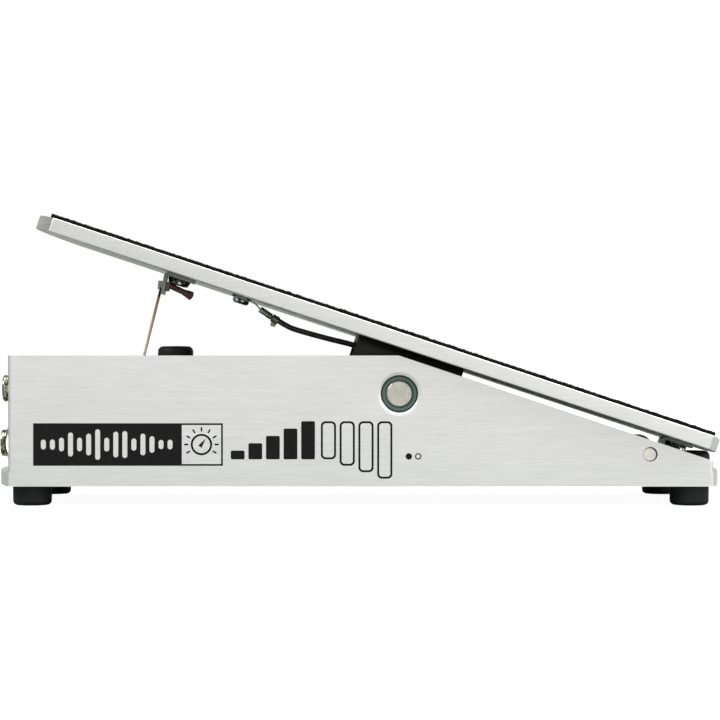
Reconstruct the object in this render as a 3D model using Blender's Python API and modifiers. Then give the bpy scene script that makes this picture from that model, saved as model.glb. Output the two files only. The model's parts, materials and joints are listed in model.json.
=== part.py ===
"""A passive volume pedal. A footboard rocks on a shaft across an aluminium channel, and pulls a cord that
turns the drum of a potentiometer.

+X runs from the toe end to the heel end, +Y to the far side and +Z up. The origin is on the floor, below the
middle of the channel. The pedal is at rest with its heel down.
Run it with blender --background --python part.py.
"""

import math

import bmesh
import bpy
from mathutils import Matrix, Vector

MM = 0.001
GAP = 0.3 * MM  # clear space that two touching pieces keep
ROUND = 24  # sides of a turned piece
SMALL_ROUND = 16  # sides of a small one

# Channel: a base with bowed ends and two walls whose tops slope down to the heel
HALF_WIDTH = 38.1 * MM
WALL = 3.0 * MM
BASE_BOTTOM = 6.7 * MM
BASE_TOP = BASE_BOTTOM + 4.76 * MM
WALL_TOP = 51.4 * MM
WALL_END = 120.4 * MM
BASE_END = 127.0 * MM
SLOPE_START_X = 13.0 * MM
SLOPE_END = (WALL_END, 15.38 * MM)
INNER_HALF = HALF_WIDTH - WALL

# Footboard and its hinge. The treadle's own frame has X along the board and Z square to it, from the shaft.
PIVOT = Vector((13.2 * MM, 0.0, 38.3 * MM))
REST_TILT = math.radians(18.27)
BOARD_HALF = 44.45 * MM
BOARD_TOE = -130.1 * MM
BOARD_HEEL = 105.1 * MM
BOARD_BOW = (9.6 * MM, 8.95 * MM)  # how far the toe end and the heel end stand out
BOARD_UNDER = 15.1 * MM
BOARD_TOP = BOARD_UNDER + 4.86 * MM
GRIP_TOP = BOARD_TOP + 1.25 * MM
SHAFT_RADIUS = 4.7625 * MM
BUSHING_RADIUS = 6.35 * MM
BRACKET_HALF_LENGTH = 19.05 * MM
BRACKET_HALF_WIDTH = 29.0 * MM
BRACKET_SHEET = 2.3 * MM
BRACKET_DROP = 7.0 * MM

# Cord drive, all of it in one plane beside the middle of the pedal
CORD_Y = -14.0 * MM
CORD_RADIUS = 0.5 * MM
CORD_TURN = 5.2 * MM  # radius of the cord's centre line round the drum and round the roller
DRUM_AXIS = Vector((-77.0 * MM, 0.0, 25.0 * MM))
ROLLER_AXIS = Vector((98.6 * MM, 0.0, 17.7 * MM))
ROD_RADIUS = 2.38 * MM
SPRING_X = -8.0 * MM
SPRING_LENGTH = 22.0 * MM
SPRING_RADIUS = 2.5 * MM
TONGUE_TOE = -90.1 * MM  # along the board, the middle of the tongue that pulls the toe run of the cord
TONGUE_HEEL = 94.0 * MM
TONGUE_DROP = 8.0 * MM
TONGUE_SHEET = 1.1 * MM
TONGUE_FLANGE = 10.0 * MM
TONGUE_HALF_WIDTH = 4.0 * MM
TONGUE_SCREW = 5.1 * MM  # from the tongue's middle to its screw

# Rubber feet and bumpers
FOOT_RADIUS = 6.75 * MM
FOOT_X = {"toe": -112.95 * MM, "heel": 113.45 * MM}
FOOT_Y = 29.9 * MM
BUMPER_RADIUS = 6.4 * MM
BUMPER_TOE = (-65.45 * MM, 54.85 * MM)  # where it stands, and its top
BUMPER_HEEL = (119.9 * MM, 17.4 * MM)

# Potentiometer and the sheet bracket that holds it
POT_X = (-92.0 * MM, -57.0 * MM)
POT_PLATE_Y = (-8.5 * MM, -7.0 * MM)
POT_BRACKET_TOP = 48.2 * MM
POT_BUSHING_RADIUS = 3.7 * MM
POT_SHAFT_RADIUS = 3.0 * MM

# Toe panel and its jacks: each jack's place across and above the floor
PANEL = 2.5 * MM
PANEL_FLANGE = (16.4 * MM, 2.0 * MM)
JACKS = {
    "input": (-15.5 * MM, 39.9 * MM),
    "output": (-19.7 * MM, 20.9 * MM),
    "tuner": (19.7 * MM, 20.9 * MM),
}
JACK_THREAD = 4.7 * MM
JACK_BORE = 3.3 * MM
JACK_TIP = 4.6 * MM
NUT_RADIUS = 7.33 * MM

# Fasteners: shank radius, and the clear hole round it
SHANK = 1.5 * MM
SHANK_HOLE = SHANK + GAP
BASE_SCREWS = {
    "panel_screw_near": (-110.0 * MM, -6.0 * MM),
    "panel_screw_far": (-110.0 * MM, 6.0 * MM),
    "pot_screw_toe": (-87.0 * MM, 5.0 * MM),
    "pot_screw_heel": (-62.0 * MM, 5.0 * MM),
}
BOARD_SCREW = (11.0 * MM, 18.0 * MM)
GROUND_SCREW = -62.2 * MM

# Quarter turns that set an outline or a turned piece along an axis
ALONG_X = Matrix(((0, 0, 1, 0), (1, 0, 0, 0), (0, 1, 0, 0), (0, 0, 0, 1)))
ALONG_Y = Matrix(((1, 0, 0, 0), (0, 0, -1, 0), (0, 1, 0, 0), (0, 0, 0, 1)))
ALONG_Z = Matrix.Identity(4)
TO_TOE = (0.0, -math.pi / 2, 0.0)
TO_NEAR = (math.pi / 2, 0.0, 0.0)
UPSIDE_DOWN = (math.pi, 0.0, 0.0)

# Colour, roughness and metallic value of each finish
FINISHES = {
    "brushed_aluminium": ((0.70, 0.71, 0.69), 0.38, 1.0),
    "footboard_aluminium": ((0.66, 0.68, 0.65), 0.42, 1.0),
    "grip": ((0.012, 0.012, 0.012), 0.95, 0.0),
    "black_bracket": ((0.02, 0.022, 0.02), 0.45, 0.0),
    "rubber": ((0.016, 0.018, 0.016), 0.7, 0.0),
    "bushing": ((0.10, 0.13, 0.12), 0.4, 0.0),
    "steel": ((0.55, 0.55, 0.53), 0.3, 1.0),
    "nickel": ((0.50, 0.50, 0.48), 0.22, 1.0),
    "zinc": ((0.48, 0.48, 0.45), 0.38, 1.0),
    "black_plastic": ((0.015, 0.015, 0.015), 0.4, 0.0),
    "cord": ((0.45, 0.26, 0.12), 0.8, 0.0),
    "cord_knot": ((0.50, 0.47, 0.40), 0.8, 0.0),
    "cord_tail": ((0.16, 0.045, 0.03), 0.6, 0.0),
    "black_wire": ((0.012, 0.012, 0.012), 0.5, 0.0),
}


def clear_scene():
    for old in list(bpy.data.objects):
        bpy.data.objects.remove(old, do_unlink=True)


def new_collection(name):
    group = bpy.data.collections.new(name)
    bpy.context.scene.collection.children.link(group)
    return group


clear_scene()
PEDAL = new_collection("volume_pedal")
CUTTERS = new_collection("cutters")
CUTTERS.hide_render = True


def finish_material(name, finish):
    colour, roughness, metallic = FINISHES[finish]
    made = bpy.data.materials.new(name + "_finish")
    made.use_nodes = True
    shader = made.node_tree.nodes["Principled BSDF"]
    shader.inputs["Base Color"].default_value = (*colour, 1.0)
    shader.inputs["Roughness"].default_value = roughness
    shader.inputs["Metallic"].default_value = metallic
    made.diffuse_color = (*colour, 1.0)
    return made


def place(obj, location=(0, 0, 0), rotation=(0, 0, 0), parent=None):
    obj.location = location
    obj.rotation_euler = rotation
    obj.parent = parent
    return obj


def add(name, mesh, finish, location=(0, 0, 0), rotation=(0, 0, 0), parent=None, smooth=False):
    """A sub-part: one named object with its own material."""
    mesh.name = name
    if smooth:
        mesh.shade_smooth()
        mesh.set_sharp_from_angle(angle=math.radians(40))
    obj = bpy.data.objects.new(name, mesh)
    mesh.materials.append(finish_material(name, finish))
    PEDAL.objects.link(obj)
    return place(obj, location, rotation, parent)


def axle_empty(name, location, tilt=0.0):
    """An empty on a joint's axis, which carries the pieces that turn on it."""
    obj = bpy.data.objects.new(name, None)
    obj.empty_display_size = 0.01
    PEDAL.objects.link(obj)
    return place(obj, location, (0.0, tilt, 0.0))


def outline_mesh(points, low, high, direction=ALONG_Z):
    """A flat outline made thick, from low to high along the direction that it is set in."""
    curve = bpy.data.curves.new("outline", "CURVE")
    curve.dimensions = "2D"
    curve.fill_mode = "BOTH"
    curve.extrude = (high - low) / 2
    spline = curve.splines.new("POLY")
    spline.points.add(len(points) - 1)
    for point, (x, y) in zip(spline.points, points):
        point.co = (x, y, 0.0, 1.0)
    spline.use_cyclic_u = True
    guide = bpy.data.objects.new("outline", curve)
    CUTTERS.objects.link(guide)
    bpy.context.view_layer.update()
    graph = bpy.context.evaluated_depsgraph_get()
    mesh = bpy.data.meshes.new_from_object(guide.evaluated_get(graph))
    bpy.data.objects.remove(guide, do_unlink=True)
    middle = Matrix.Translation((0.0, 0.0, (low + high) / 2))
    if direction is ALONG_Y:
        middle = Matrix.Translation((0.0, 0.0, -(low + high) / 2))
    mesh.transform(direction @ middle)
    shell = bmesh.new()
    shell.from_mesh(mesh)
    bmesh.ops.remove_doubles(shell, verts=shell.verts, dist=0.001 * MM)
    bmesh.ops.recalc_face_normals(shell, faces=shell.faces)
    shell.to_mesh(mesh)
    shell.free()
    mesh.materials.clear()
    return mesh


def cone_mesh(bottom, top, low, high, sides=ROUND):
    """A cylinder or cone along Z, from low to high."""
    shell = bmesh.new()
    shift = Matrix.Translation((0.0, 0.0, (low + high) / 2))
    bmesh.ops.create_cone(
        shell, cap_ends=True, segments=sides, radius1=bottom, radius2=top, depth=high - low, matrix=shift
    )
    mesh = bpy.data.meshes.new("cone")
    shell.to_mesh(mesh)
    shell.free()
    return mesh


def turned(name, profile, finish, closed=False, steps=ROUND, **where):
    """A piece turned round its own Z. The profile holds (radius, height), down the outer side."""
    mesh = bpy.data.meshes.new(name)
    points = [(radius, 0.0, height) for radius, height in profile]
    edges = [(i, i + 1) for i in range(len(points) - 1)]
    if closed:
        edges.append((len(points) - 1, 0))
    mesh.from_pydata(points, edges, [])
    obj = add(name, mesh, finish, **where)
    screw = obj.modifiers.new("turn", "SCREW")
    screw.steps = steps
    screw.render_steps = steps
    screw.use_merge_vertices = True
    screw.merge_threshold = 0.001 * MM
    screw.use_smooth_shade = True
    return obj


def wire(name, points, radius, finish, parent=None):
    """A cord or wire along a list of points, with closed ends."""
    curve = bpy.data.curves.new(name, "CURVE")
    curve.dimensions = "3D"
    curve.bevel_depth = radius
    curve.bevel_resolution = 2
    curve.use_fill_caps = True
    curve.materials.append(finish_material(name, finish))
    spline = curve.splines.new("POLY")
    spline.points.add(len(points) - 1)
    for point, place_of in zip(spline.points, points):
        point.co = (*place_of, 1.0)
    obj = bpy.data.objects.new(name, curve)
    PEDAL.objects.link(obj)
    return place(obj, parent=parent)


def boolean(obj, mesh, operation, location=(0, 0, 0), rotation=(0, 0, 0), parent=None):
    """Cuts the object with a hidden mesh, joins the mesh to it, or keeps what both share."""
    cutter = bpy.data.objects.new(obj.name + "_" + operation.lower(), mesh)
    cutter.display_type = "WIRE"
    cutter.hide_render = True
    CUTTERS.objects.link(cutter)
    place(cutter, location, rotation, parent)
    modifier = obj.modifiers.new(operation.lower(), "BOOLEAN")
    modifier.operation = operation
    modifier.solver = "EXACT"
    modifier.object = cutter


def cut(obj, mesh, **where):
    boolean(obj, mesh, "DIFFERENCE", **where)


def turned_cutter(profile, steps=SMALL_ROUND):
    """A closed turned mesh for a cut, from (radius, height) points that start and end on the axis."""
    shell = bmesh.new()
    rows = [shell.verts.new((radius, 0.0, height)) for radius, height in profile]
    edges = [shell.edges.new(pair) for pair in zip(rows, rows[1:])]
    turn = {"axis": (0, 0, 1), "cent": (0, 0, 0), "angle": 2 * math.pi}
    bmesh.ops.spin(shell, geom=rows + edges, steps=steps, use_merge=True, **turn)
    bmesh.ops.remove_doubles(shell, verts=shell.verts, dist=0.001 * MM)
    bmesh.ops.recalc_face_normals(shell, faces=shell.faces)
    mesh = bpy.data.meshes.new("turned_cutter")
    shell.to_mesh(mesh)
    shell.free()
    return mesh


def box_outline(x_low, x_high, y_low, y_high):
    return [(x_low, y_low), (x_high, y_low), (x_high, y_high), (x_low, y_high)]


def bow(end, half_width, rise, steps=12):
    """Points of an arc across the width whose middle stands out by the rise, past an end at this place."""
    radius = (half_width**2 + rise**2) / (2 * abs(rise))
    sign = math.copysign(1.0, rise)
    half_angle = math.asin(half_width / radius)
    centre = end + rise - sign * radius
    angles = [half_angle * (2 * i / steps - 1) for i in range(steps + 1)]
    return [(centre + sign * radius * math.cos(a), sign * radius * math.sin(a)) for a in angles]


def bowed_outline(toe, heel, half_width, rises):
    return bow(heel, half_width, rises[1]) + bow(toe, half_width, -rises[0])


def hex_nut(name, thickness, across, bore, finish, **where):
    """A hexagonal nut with its seat at zero height."""
    nut = add(name, cone_mesh(across, across, 0.0, thickness, 6), finish, **where)
    cut(nut, cone_mesh(bore, bore, -thickness, 2 * thickness), **where)
    return nut


def rounded_stub(radius, height, rounding, steps=3):
    """A plug's profile from its seat at zero height, with a rounded free edge above it."""
    profile = [(0.0, height)]
    for i in range(steps + 1):
        angle = math.pi / 2 * i / steps
        out = radius - rounding + rounding * math.sin(angle)
        profile.append((out, height - rounding + rounding * math.cos(angle)))
    return profile + [(radius, 0.0), (0.0, 0.0)]


def circle_tangent(centre, radius, point, side):
    """Where a line from the point touches the circle, in the XZ plane. The side is 1 or -1."""
    away = point - centre
    reach = math.hypot(away.x, away.z)
    angle = math.atan2(away.z, away.x) + side * math.acos(radius / reach)
    return centre + radius * Vector((math.cos(angle), 0.0, math.sin(angle)))


def on_treadle(along, across, out):
    """A place on the treadle, in the pedal's own frame at rest."""
    turn = Matrix.Rotation(REST_TILT, 4, "Y")
    return PIVOT + turn @ Vector((along, across, out))


# ---------------------------------------------------------------- housing

def countersunk_cutter():
    """The hole of a countersunk screw that goes up through the base, with its mouth at zero height."""
    return turned_cutter(
        [(0, -2 * MM), (5.3 * MM, -2 * MM), (SHANK_HOLE, 1.8 * MM), (SHANK_HOLE, 8 * MM), (0, 8 * MM)]
    )


def make_channel():
    section = [
        (-HALF_WIDTH, BASE_BOTTOM),
        (HALF_WIDTH, BASE_BOTTOM),
        (HALF_WIDTH, WALL_TOP),
        (INNER_HALF, WALL_TOP),
        (INNER_HALF, BASE_TOP),
        (-INNER_HALF, BASE_TOP),
        (-INNER_HALF, WALL_TOP),
        (-HALF_WIDTH, WALL_TOP),
    ]
    channel = add(
        "housing_channel", outline_mesh(section, -BASE_END, BASE_END, ALONG_X), "brushed_aluminium"
    )
    clear = 10 * MM
    rise = BASE_END - WALL_END
    plan = bowed_outline(-WALL_END, WALL_END, HALF_WIDTH, (rise, rise))
    boolean(channel, outline_mesh(plan, -clear, WALL_TOP + clear), "INTERSECT")
    toe_cut = box_outline(-BASE_END - clear, -WALL_END, BASE_TOP, WALL_TOP + clear)
    cut(channel, outline_mesh(toe_cut, -BOARD_HALF, BOARD_HALF, ALONG_Y))
    heel_cut = [
        (SLOPE_START_X, WALL_TOP),
        SLOPE_END,
        (WALL_END, BASE_TOP),
        (BASE_END + clear, BASE_TOP),
        (BASE_END + clear, WALL_TOP + clear),
        (SLOPE_START_X, WALL_TOP + clear),
    ]
    cut(channel, outline_mesh(heel_cut, -BOARD_HALF, BOARD_HALF, ALONG_Y))
    hole = BUSHING_RADIUS + GAP
    lip = 1.1 * MM
    out = HALF_WIDTH + lip
    pivot_cut = [
        (0, out),
        (hole + 2 * lip, out),
        (hole, HALF_WIDTH - lip),
        (hole, lip - HALF_WIDTH),
        (hole + 2 * lip, -out),
        (0, -out),
    ]
    cut(channel, turned_cutter(pivot_cut, ROUND), location=PIVOT, rotation=TO_NEAR)
    rod_hole = ROD_RADIUS + GAP
    rod_cut = cone_mesh(rod_hole, rod_hole, -BOARD_HALF, BOARD_HALF, SMALL_ROUND)
    cut(channel, rod_cut, location=ROLLER_AXIS, rotation=TO_NEAR)
    for x, y in BASE_SCREWS.values():
        cut(channel, countersunk_cutter(), location=(x, y, BASE_BOTTOM))


def make_toe_panel():
    length, sheet = PANEL_FLANGE
    low = BASE_TOP + GAP
    outline = [
        (-WALL_END, low),
        (-WALL_END + length, low),
        (-WALL_END + length, low + sheet),
        (-WALL_END + PANEL, low + sheet),
        (-WALL_END + PANEL, WALL_TOP - GAP),
        (-WALL_END, WALL_TOP - GAP),
    ]
    side = INNER_HALF - GAP
    panel = add("toe_panel", outline_mesh(outline, -side, side, ALONG_Y), "brushed_aluminium")
    hole = JACK_THREAD + GAP
    for y, z in JACKS.values():
        jack_cut = cone_mesh(hole, hole, -2 * PANEL, 2 * PANEL)
        cut(panel, jack_cut, location=(-WALL_END, y, z), rotation=TO_TOE)
    for name in ("panel_screw_near", "panel_screw_far"):
        x, y = BASE_SCREWS[name]
        cut(panel, cone_mesh(SHANK_HOLE, SHANK_HOLE, 0, 3 * sheet, SMALL_ROUND), location=(x, y, BASE_TOP))


def make_jack(name, y, z):
    """A jack with its thread through the panel, its washer and its nut. Heights run out of the panel."""
    back = -PANEL - GAP
    depth = 24 * MM
    body = 6.6 * MM
    profile = [
        (0, -depth + 2.6 * MM),
        (JACK_BORE, -depth + 2.6 * MM),
        (JACK_BORE, JACK_TIP),
        (JACK_THREAD - 0.6 * MM, JACK_TIP),
        (JACK_THREAD, JACK_TIP - 0.7 * MM),
        (JACK_THREAD, back),
        (body, back),
        (body, -depth),
        (0, -depth),
    ]
    where = {"location": (-WALL_END, y, z), "rotation": TO_TOE}
    turned("jack_" + name, profile, "nickel", **where)
    hole = JACK_THREAD + GAP
    washer_top = GAP + 0.6 * MM
    washer = [(hole, washer_top), (NUT_RADIUS, washer_top), (NUT_RADIUS, GAP), (hole, GAP)]
    turned("jack_washer_" + name, washer, "nickel", closed=True, **where)
    seat = WALL_END + washer_top + GAP
    where["location"] = (-seat, y, z)
    hex_nut("jack_nut_" + name, 2.2 * MM, NUT_RADIUS, hole, "nickel", **where)


def make_base_screws():
    """Countersunk screws that hold the toe panel and the potentiometer's bracket from below."""
    profile = [(0, 8.6 * MM), (SHANK, 8.6 * MM), (SHANK, 2.0 * MM), (3.2 * MM, 0.1 * MM), (0, 0.1 * MM)]
    for name, (x, y) in BASE_SCREWS.items():
        turned(name, profile, "steel", steps=SMALL_ROUND, location=(x, y, BASE_BOTTOM))


def make_rubber():
    for end, x in FOOT_X.items():
        for side, y in (("near", -FOOT_Y), ("far", FOOT_Y)):
            height = BASE_BOTTOM - GAP
            profile = rounded_stub(FOOT_RADIUS, height, 1.5 * MM)
            turned(
                f"foot_{end}_{side}", profile, "rubber", location=(x, y, height), rotation=UPSIDE_DOWN
            )
    for name, (x, top), seat in (
        ("toe_bumper", BUMPER_TOE, POT_BRACKET_TOP + GAP),
        ("heel_bumper", BUMPER_HEEL, BASE_TOP + GAP),
    ):
        profile = rounded_stub(BUMPER_RADIUS, top - seat, 2.3 * MM)
        turned(name, profile, "rubber", location=(x, 0, seat))


def make_bushings():
    bore = SHAFT_RADIUS + GAP
    inner = INNER_HALF - 1.8 * MM
    flange = INNER_HALF - GAP
    outer = HALF_WIDTH - GAP
    profile = [
        (bore, outer),
        (BUSHING_RADIUS, outer),
        (BUSHING_RADIUS, flange),
        (8 * MM, flange),
        (8 * MM, inner),
        (bore, inner),
    ]
    for side, turn in (("near", math.pi / 2), ("far", -math.pi / 2)):
        turned(
            "pivot_bushing_" + side, profile, "bushing", closed=True, location=PIVOT, rotation=(turn, 0, 0)
        )


def make_heel_rod():
    half = HALF_WIDTH - 0.1 * MM
    rod = cone_mesh(ROD_RADIUS, ROD_RADIUS, -half, half, SMALL_ROUND)
    add("heel_cross_rod", rod, "steel", location=ROLLER_AXIS, rotation=TO_NEAR, smooth=True)


def make_potentiometer():
    near, far = POT_PLATE_Y
    low = BASE_TOP + GAP
    sheet = 1.2 * MM
    under = POT_BRACKET_TOP - (far - near)
    section = [
        (12 * MM, low),
        (12 * MM, low + sheet),
        (far, low + sheet),
        (far, under),
        (8 * MM, under),
        (8 * MM, POT_BRACKET_TOP),
        (near, POT_BRACKET_TOP),
        (near, low),
    ]
    bracket = add("pot_bracket", outline_mesh(section, *POT_X, ALONG_X), "zinc")
    hole = POT_BUSHING_RADIUS + GAP
    plate_cut = cone_mesh(hole, hole, -20 * MM, 20 * MM, SMALL_ROUND)
    cut(bracket, plate_cut, location=DRUM_AXIS + Vector((0, near, 0)), rotation=TO_NEAR)
    for name in ("pot_screw_toe", "pot_screw_heel"):
        x, y = BASE_SCREWS[name]
        cut(bracket, cone_mesh(SHANK_HOLE, SHANK_HOLE, 0, 4 * sheet, SMALL_ROUND), location=(x, y, BASE_TOP))
    front = -far - GAP
    can = 11.5 * MM
    bore = POT_SHAFT_RADIUS + GAP
    bushing_end = 10.9 * MM
    profile = [
        (0, 4.0 * MM),
        (bore, 4.0 * MM),
        (bore, bushing_end),
        (POT_BUSHING_RADIUS, bushing_end),
        (POT_BUSHING_RADIUS, front),
        (can, front),
        (can, -5.3 * MM),
        (0, -5.3 * MM),
    ]
    turned("potentiometer", profile, "nickel", location=DRUM_AXIS, rotation=TO_NEAR)
    nut_seat = DRUM_AXIS + Vector((0, near - GAP, 0))
    hex_nut("pot_nut", 1.9 * MM, 6.35 * MM, hole, "nickel", location=nut_seat, rotation=TO_NEAR)


# ---------------------------------------------------------------- treadle

def make_board(treadle):
    plan = bowed_outline(BOARD_TOE, BOARD_HEEL, BOARD_HALF, BOARD_BOW)
    board = add(
        "footboard", outline_mesh(plan, BOARD_UNDER, BOARD_TOP), "footboard_aluminium", parent=treadle
    )
    screw_x, screw_y = BOARD_SCREW
    head = 4.0 * MM
    shank = 2.0 * MM
    cone = [
        (0, BOARD_TOP + 2 * MM),
        (head + GAP + 2 * MM, BOARD_TOP + 2 * MM),
        (shank + GAP, BOARD_TOP - 2.3 * MM),
        (shank + GAP, 0),
        (0, 0),
    ]
    screw_cut = turned_cutter(cone)
    screw_profile = [
        (0, BOARD_TOP),
        (head, BOARD_TOP),
        (shank, BOARD_TOP - 2.0 * MM),
        (shank, BOARD_UNDER - 3.2 * MM),
        (0, BOARD_UNDER - 3.2 * MM),
    ]
    bracket = add("pivot_bracket", bracket_mesh(), "black_bracket", parent=treadle)
    hole = SHAFT_RADIUS + GAP
    shaft_cut = cone_mesh(hole, hole, -BOARD_HALF, BOARD_HALF)
    cut(bracket, shaft_cut, rotation=TO_NEAR, parent=treadle)
    for side, y in (("near", -screw_y), ("far", screw_y)):
        for end, x in (("toe", -screw_x), ("heel", screw_x)):
            spot = (x, y, 0)
            cut(board, screw_cut, location=spot, parent=treadle)
            cut(bracket, screw_cut, location=spot, parent=treadle)
            name = f"board_screw_{end}_{side}"
            turned(name, screw_profile, "steel", steps=SMALL_ROUND, location=spot, parent=treadle)
    small_hole = cone_mesh(SHANK_HOLE, SHANK_HOLE, BOARD_UNDER - 2 * MM, BOARD_TOP - 1.2 * MM, SMALL_ROUND)
    for x in (GROUND_SCREW, TONGUE_TOE + TONGUE_SCREW, TONGUE_HEEL + TONGUE_SCREW):
        cut(board, small_hole, location=(x, CORD_Y, 0), parent=treadle)
    grip_plan = box_outline(BOARD_TOE, BOARD_HEEL, -BOARD_HALF, BOARD_HALF)
    add("grip_pad", outline_mesh(grip_plan, BOARD_TOP + GAP, GRIP_TOP), "grip", parent=treadle)


def bracket_mesh():
    """The U of the pivot bracket, open downward, with its cheeks reaching past the shaft."""
    top = BOARD_UNDER - GAP
    side = BRACKET_HALF_WIDTH
    inner = side - BRACKET_SHEET
    section = [
        (-side, -BRACKET_DROP),
        (-inner, -BRACKET_DROP),
        (-inner, top - BRACKET_SHEET),
        (inner, top - BRACKET_SHEET),
        (inner, -BRACKET_DROP),
        (side, -BRACKET_DROP),
        (side, top),
        (-side, top),
    ]
    return outline_mesh(section, -BRACKET_HALF_LENGTH, BRACKET_HALF_LENGTH, ALONG_X)


def make_shaft(treadle):
    half = HALF_WIDTH - 0.2 * MM
    bevel = 0.4 * MM
    rim = SHAFT_RADIUS - bevel
    profile = [
        (0, half),
        (rim, half),
        (SHAFT_RADIUS, half - bevel),
        (SHAFT_RADIUS, bevel - half),
        (rim, -half),
        (0, -half),
    ]
    turned("pivot_shaft", profile, "steel", rotation=TO_NEAR, parent=treadle)
    bore = SHAFT_RADIUS + GAP
    low = BRACKET_HALF_WIDTH + GAP
    high = INNER_HALF - 2.1 * MM
    ring = [(bore, high), (7 * MM, high), (7 * MM, low), (bore, low)]
    for side, turn in (("near", math.pi / 2), ("far", -math.pi / 2)):
        turned("shaft_spacer_" + side, ring, "steel", closed=True, rotation=(turn, 0, 0), parent=treadle)


def make_tongue(name, middle, treadle):
    """An angle bracket under the board that holds one end of the cord, with its screw and lock washer."""
    top = BOARD_UNDER - GAP
    toe_face = middle - TONGUE_SHEET / 2
    heel_face = middle + TONGUE_SHEET / 2
    low = BOARD_UNDER - TONGUE_DROP
    outline = [
        (toe_face, top),
        (toe_face, low),
        (heel_face, low),
        (heel_face, top - TONGUE_SHEET),
        (heel_face + TONGUE_FLANGE, top - TONGUE_SHEET),
        (heel_face + TONGUE_FLANGE, top),
    ]
    sides = (CORD_Y - TONGUE_HALF_WIDTH, CORD_Y + TONGUE_HALF_WIDTH)
    angle = add(name + "_cord_bracket", outline_mesh(outline, *sides, ALONG_Y), "zinc", parent=treadle)
    spot = (middle + TONGUE_SCREW, CORD_Y, 0)
    hole = cone_mesh(SHANK_HOLE, SHANK_HOLE, top - 2 * TONGUE_SHEET, top + TONGUE_SHEET, SMALL_ROUND)
    cut(angle, hole, location=spot, parent=treadle)
    seat = top - TONGUE_SHEET - GAP
    thick = 0.5 * MM
    washer = [(SHANK_HOLE, seat), (4 * MM, seat), (4 * MM, seat - thick), (SHANK_HOLE, seat - thick)]
    turned(
        name + "_lock_washer", washer, "steel",
        closed=True, steps=SMALL_ROUND, location=spot, parent=treadle,
    )
    make_pan_screw(name + "_cord_screw", seat - thick - GAP, spot, treadle)


def make_pan_screw(name, seat, spot, treadle):
    head = 3.15 * MM
    height = 2.1 * MM
    tip = BOARD_TOP - 1.6 * MM
    profile = [
        (0, tip),
        (SHANK, tip),
        (SHANK, seat),
        (head, seat),
        (head, seat - 0.6 * height),
        (0.75 * head, seat - height),
        (0, seat - height),
    ]
    turned(name, profile, "steel", steps=SMALL_ROUND, location=spot, parent=treadle)


def make_ground_terminal(treadle):
    """A ring terminal under its own screw, whose barrel leans down toward the hinge and holds a wire."""
    high = BOARD_UNDER - GAP
    low = high - 0.7 * MM
    ring = 3.6 * MM
    neck = 1.5 * MM
    start = math.asin(neck / ring)
    steps = 20
    arc = [start + (2 * math.pi - 2 * start) * i / steps for i in range(steps + 1)]
    plan = [(ring * math.cos(a), ring * math.sin(a)) for a in arc]
    plan += [(6.4 * MM, -neck), (6.4 * MM, neck)]
    spot = Vector((GROUND_SCREW, CORD_Y, 0))
    terminal = add(
        "ground_terminal", outline_mesh(plan, low, high), "nickel", location=spot, parent=treadle
    )
    hole = cone_mesh(SHANK_HOLE, SHANK_HOLE, low - neck, high + neck, SMALL_ROUND)
    cut(terminal, hole, location=spot, parent=treadle)
    lean = math.radians(106)
    barrel = cone_mesh(1.1 * MM, 1.1 * MM, 0, 9.0 * MM, 16)
    foot = spot + Vector((5.9 * MM, 0, low - 0.7 * MM))
    boolean(terminal, barrel, "UNION", location=foot, rotation=(0, lean, 0), parent=treadle)
    make_pan_screw("ground_screw", low - GAP, spot, treadle)


def make_wires(treadle):
    near = CORD_Y
    upper = [
        (-46.9, near, 11.2),
        (-44.4, near, 10.4),
        (-41.4, near, 10.0),
        (-38.3, near, 10.0),
        (-35.2, near, 10.2),
        (-31.6, near, 10.4),
        (-28.1, near, 10.6),
        (-23.9, near, 11.0),
        (-19.7, near, 11.3),
        (-16.0, near, 10.9),
        (-12.6, near, 9.4),
        (-10.2, near, 6.9),
        (-9.2, near, 4.0),
    ]
    points = [(x * MM, y, z * MM) for x, y, z in upper]
    wire("ground_wire_upper", points, 0.97 * MM, "black_wire", parent=treadle)
    lower = [
        (4.2, -15.5, 36.0),
        (3.4, -16.5, 31.0),
        (1.6, -18.0, 26.0),
        (-1.4, -20.0, 21.5),
        (-6.0, -22.0, 17.8),
        (-12.0, -23.4, 15.2),
        (-20.0, -24.2, 13.8),
        (-32.0, -24.6, 13.4),
        (-48.0, -24.6, 13.4),
        (-64.0, -24.4, 13.6),
        (-78.0, -23.6, 14.6),
        (-87.0, -22.0, 16.6),
        (-92.0, -20.6, 18.6),
        (-95.9, -19.7, 20.4),
    ]
    wire("ground_wire_lower", [Vector(p) * MM for p in lower], 0.97 * MM, "black_wire")


# ---------------------------------------------------------------- cord, drum, roller and spring

def make_drum():
    drum = axle_empty("drum_axle", DRUM_AXIS)
    bore = POT_SHAFT_RADIUS + GAP
    core = CORD_TURN - CORD_RADIUS - GAP
    rim = 6.9 * MM
    cheek = 1.0 * MM
    low, high = 11.2 * MM, 17.8 * MM
    profile = [
        (bore, high),
        (rim, high),
        (rim, high - cheek),
        (core, high - cheek),
        (core, low + cheek),
        (rim, low + cheek),
        (rim, low),
        (bore, low),
    ]
    turned("cord_drum", profile, "black_plastic", closed=True, rotation=TO_NEAR, parent=drum)
    inner = CORD_TURN - CORD_RADIUS
    outer = CORD_TURN + CORD_RADIUS
    top, bottom = 15.8 * MM, 12.8 * MM
    winding = [(inner, top), (outer, top), (outer, bottom), (inner, bottom)]
    turned("cord_winding", winding, "cord", closed=True, rotation=TO_NEAR, parent=drum)
    stem = cone_mesh(POT_SHAFT_RADIUS, POT_SHAFT_RADIUS, 4.3 * MM, 18.4 * MM, SMALL_ROUND)
    add("pot_shaft", stem, "steel", rotation=TO_NEAR, parent=drum, smooth=True)


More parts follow.
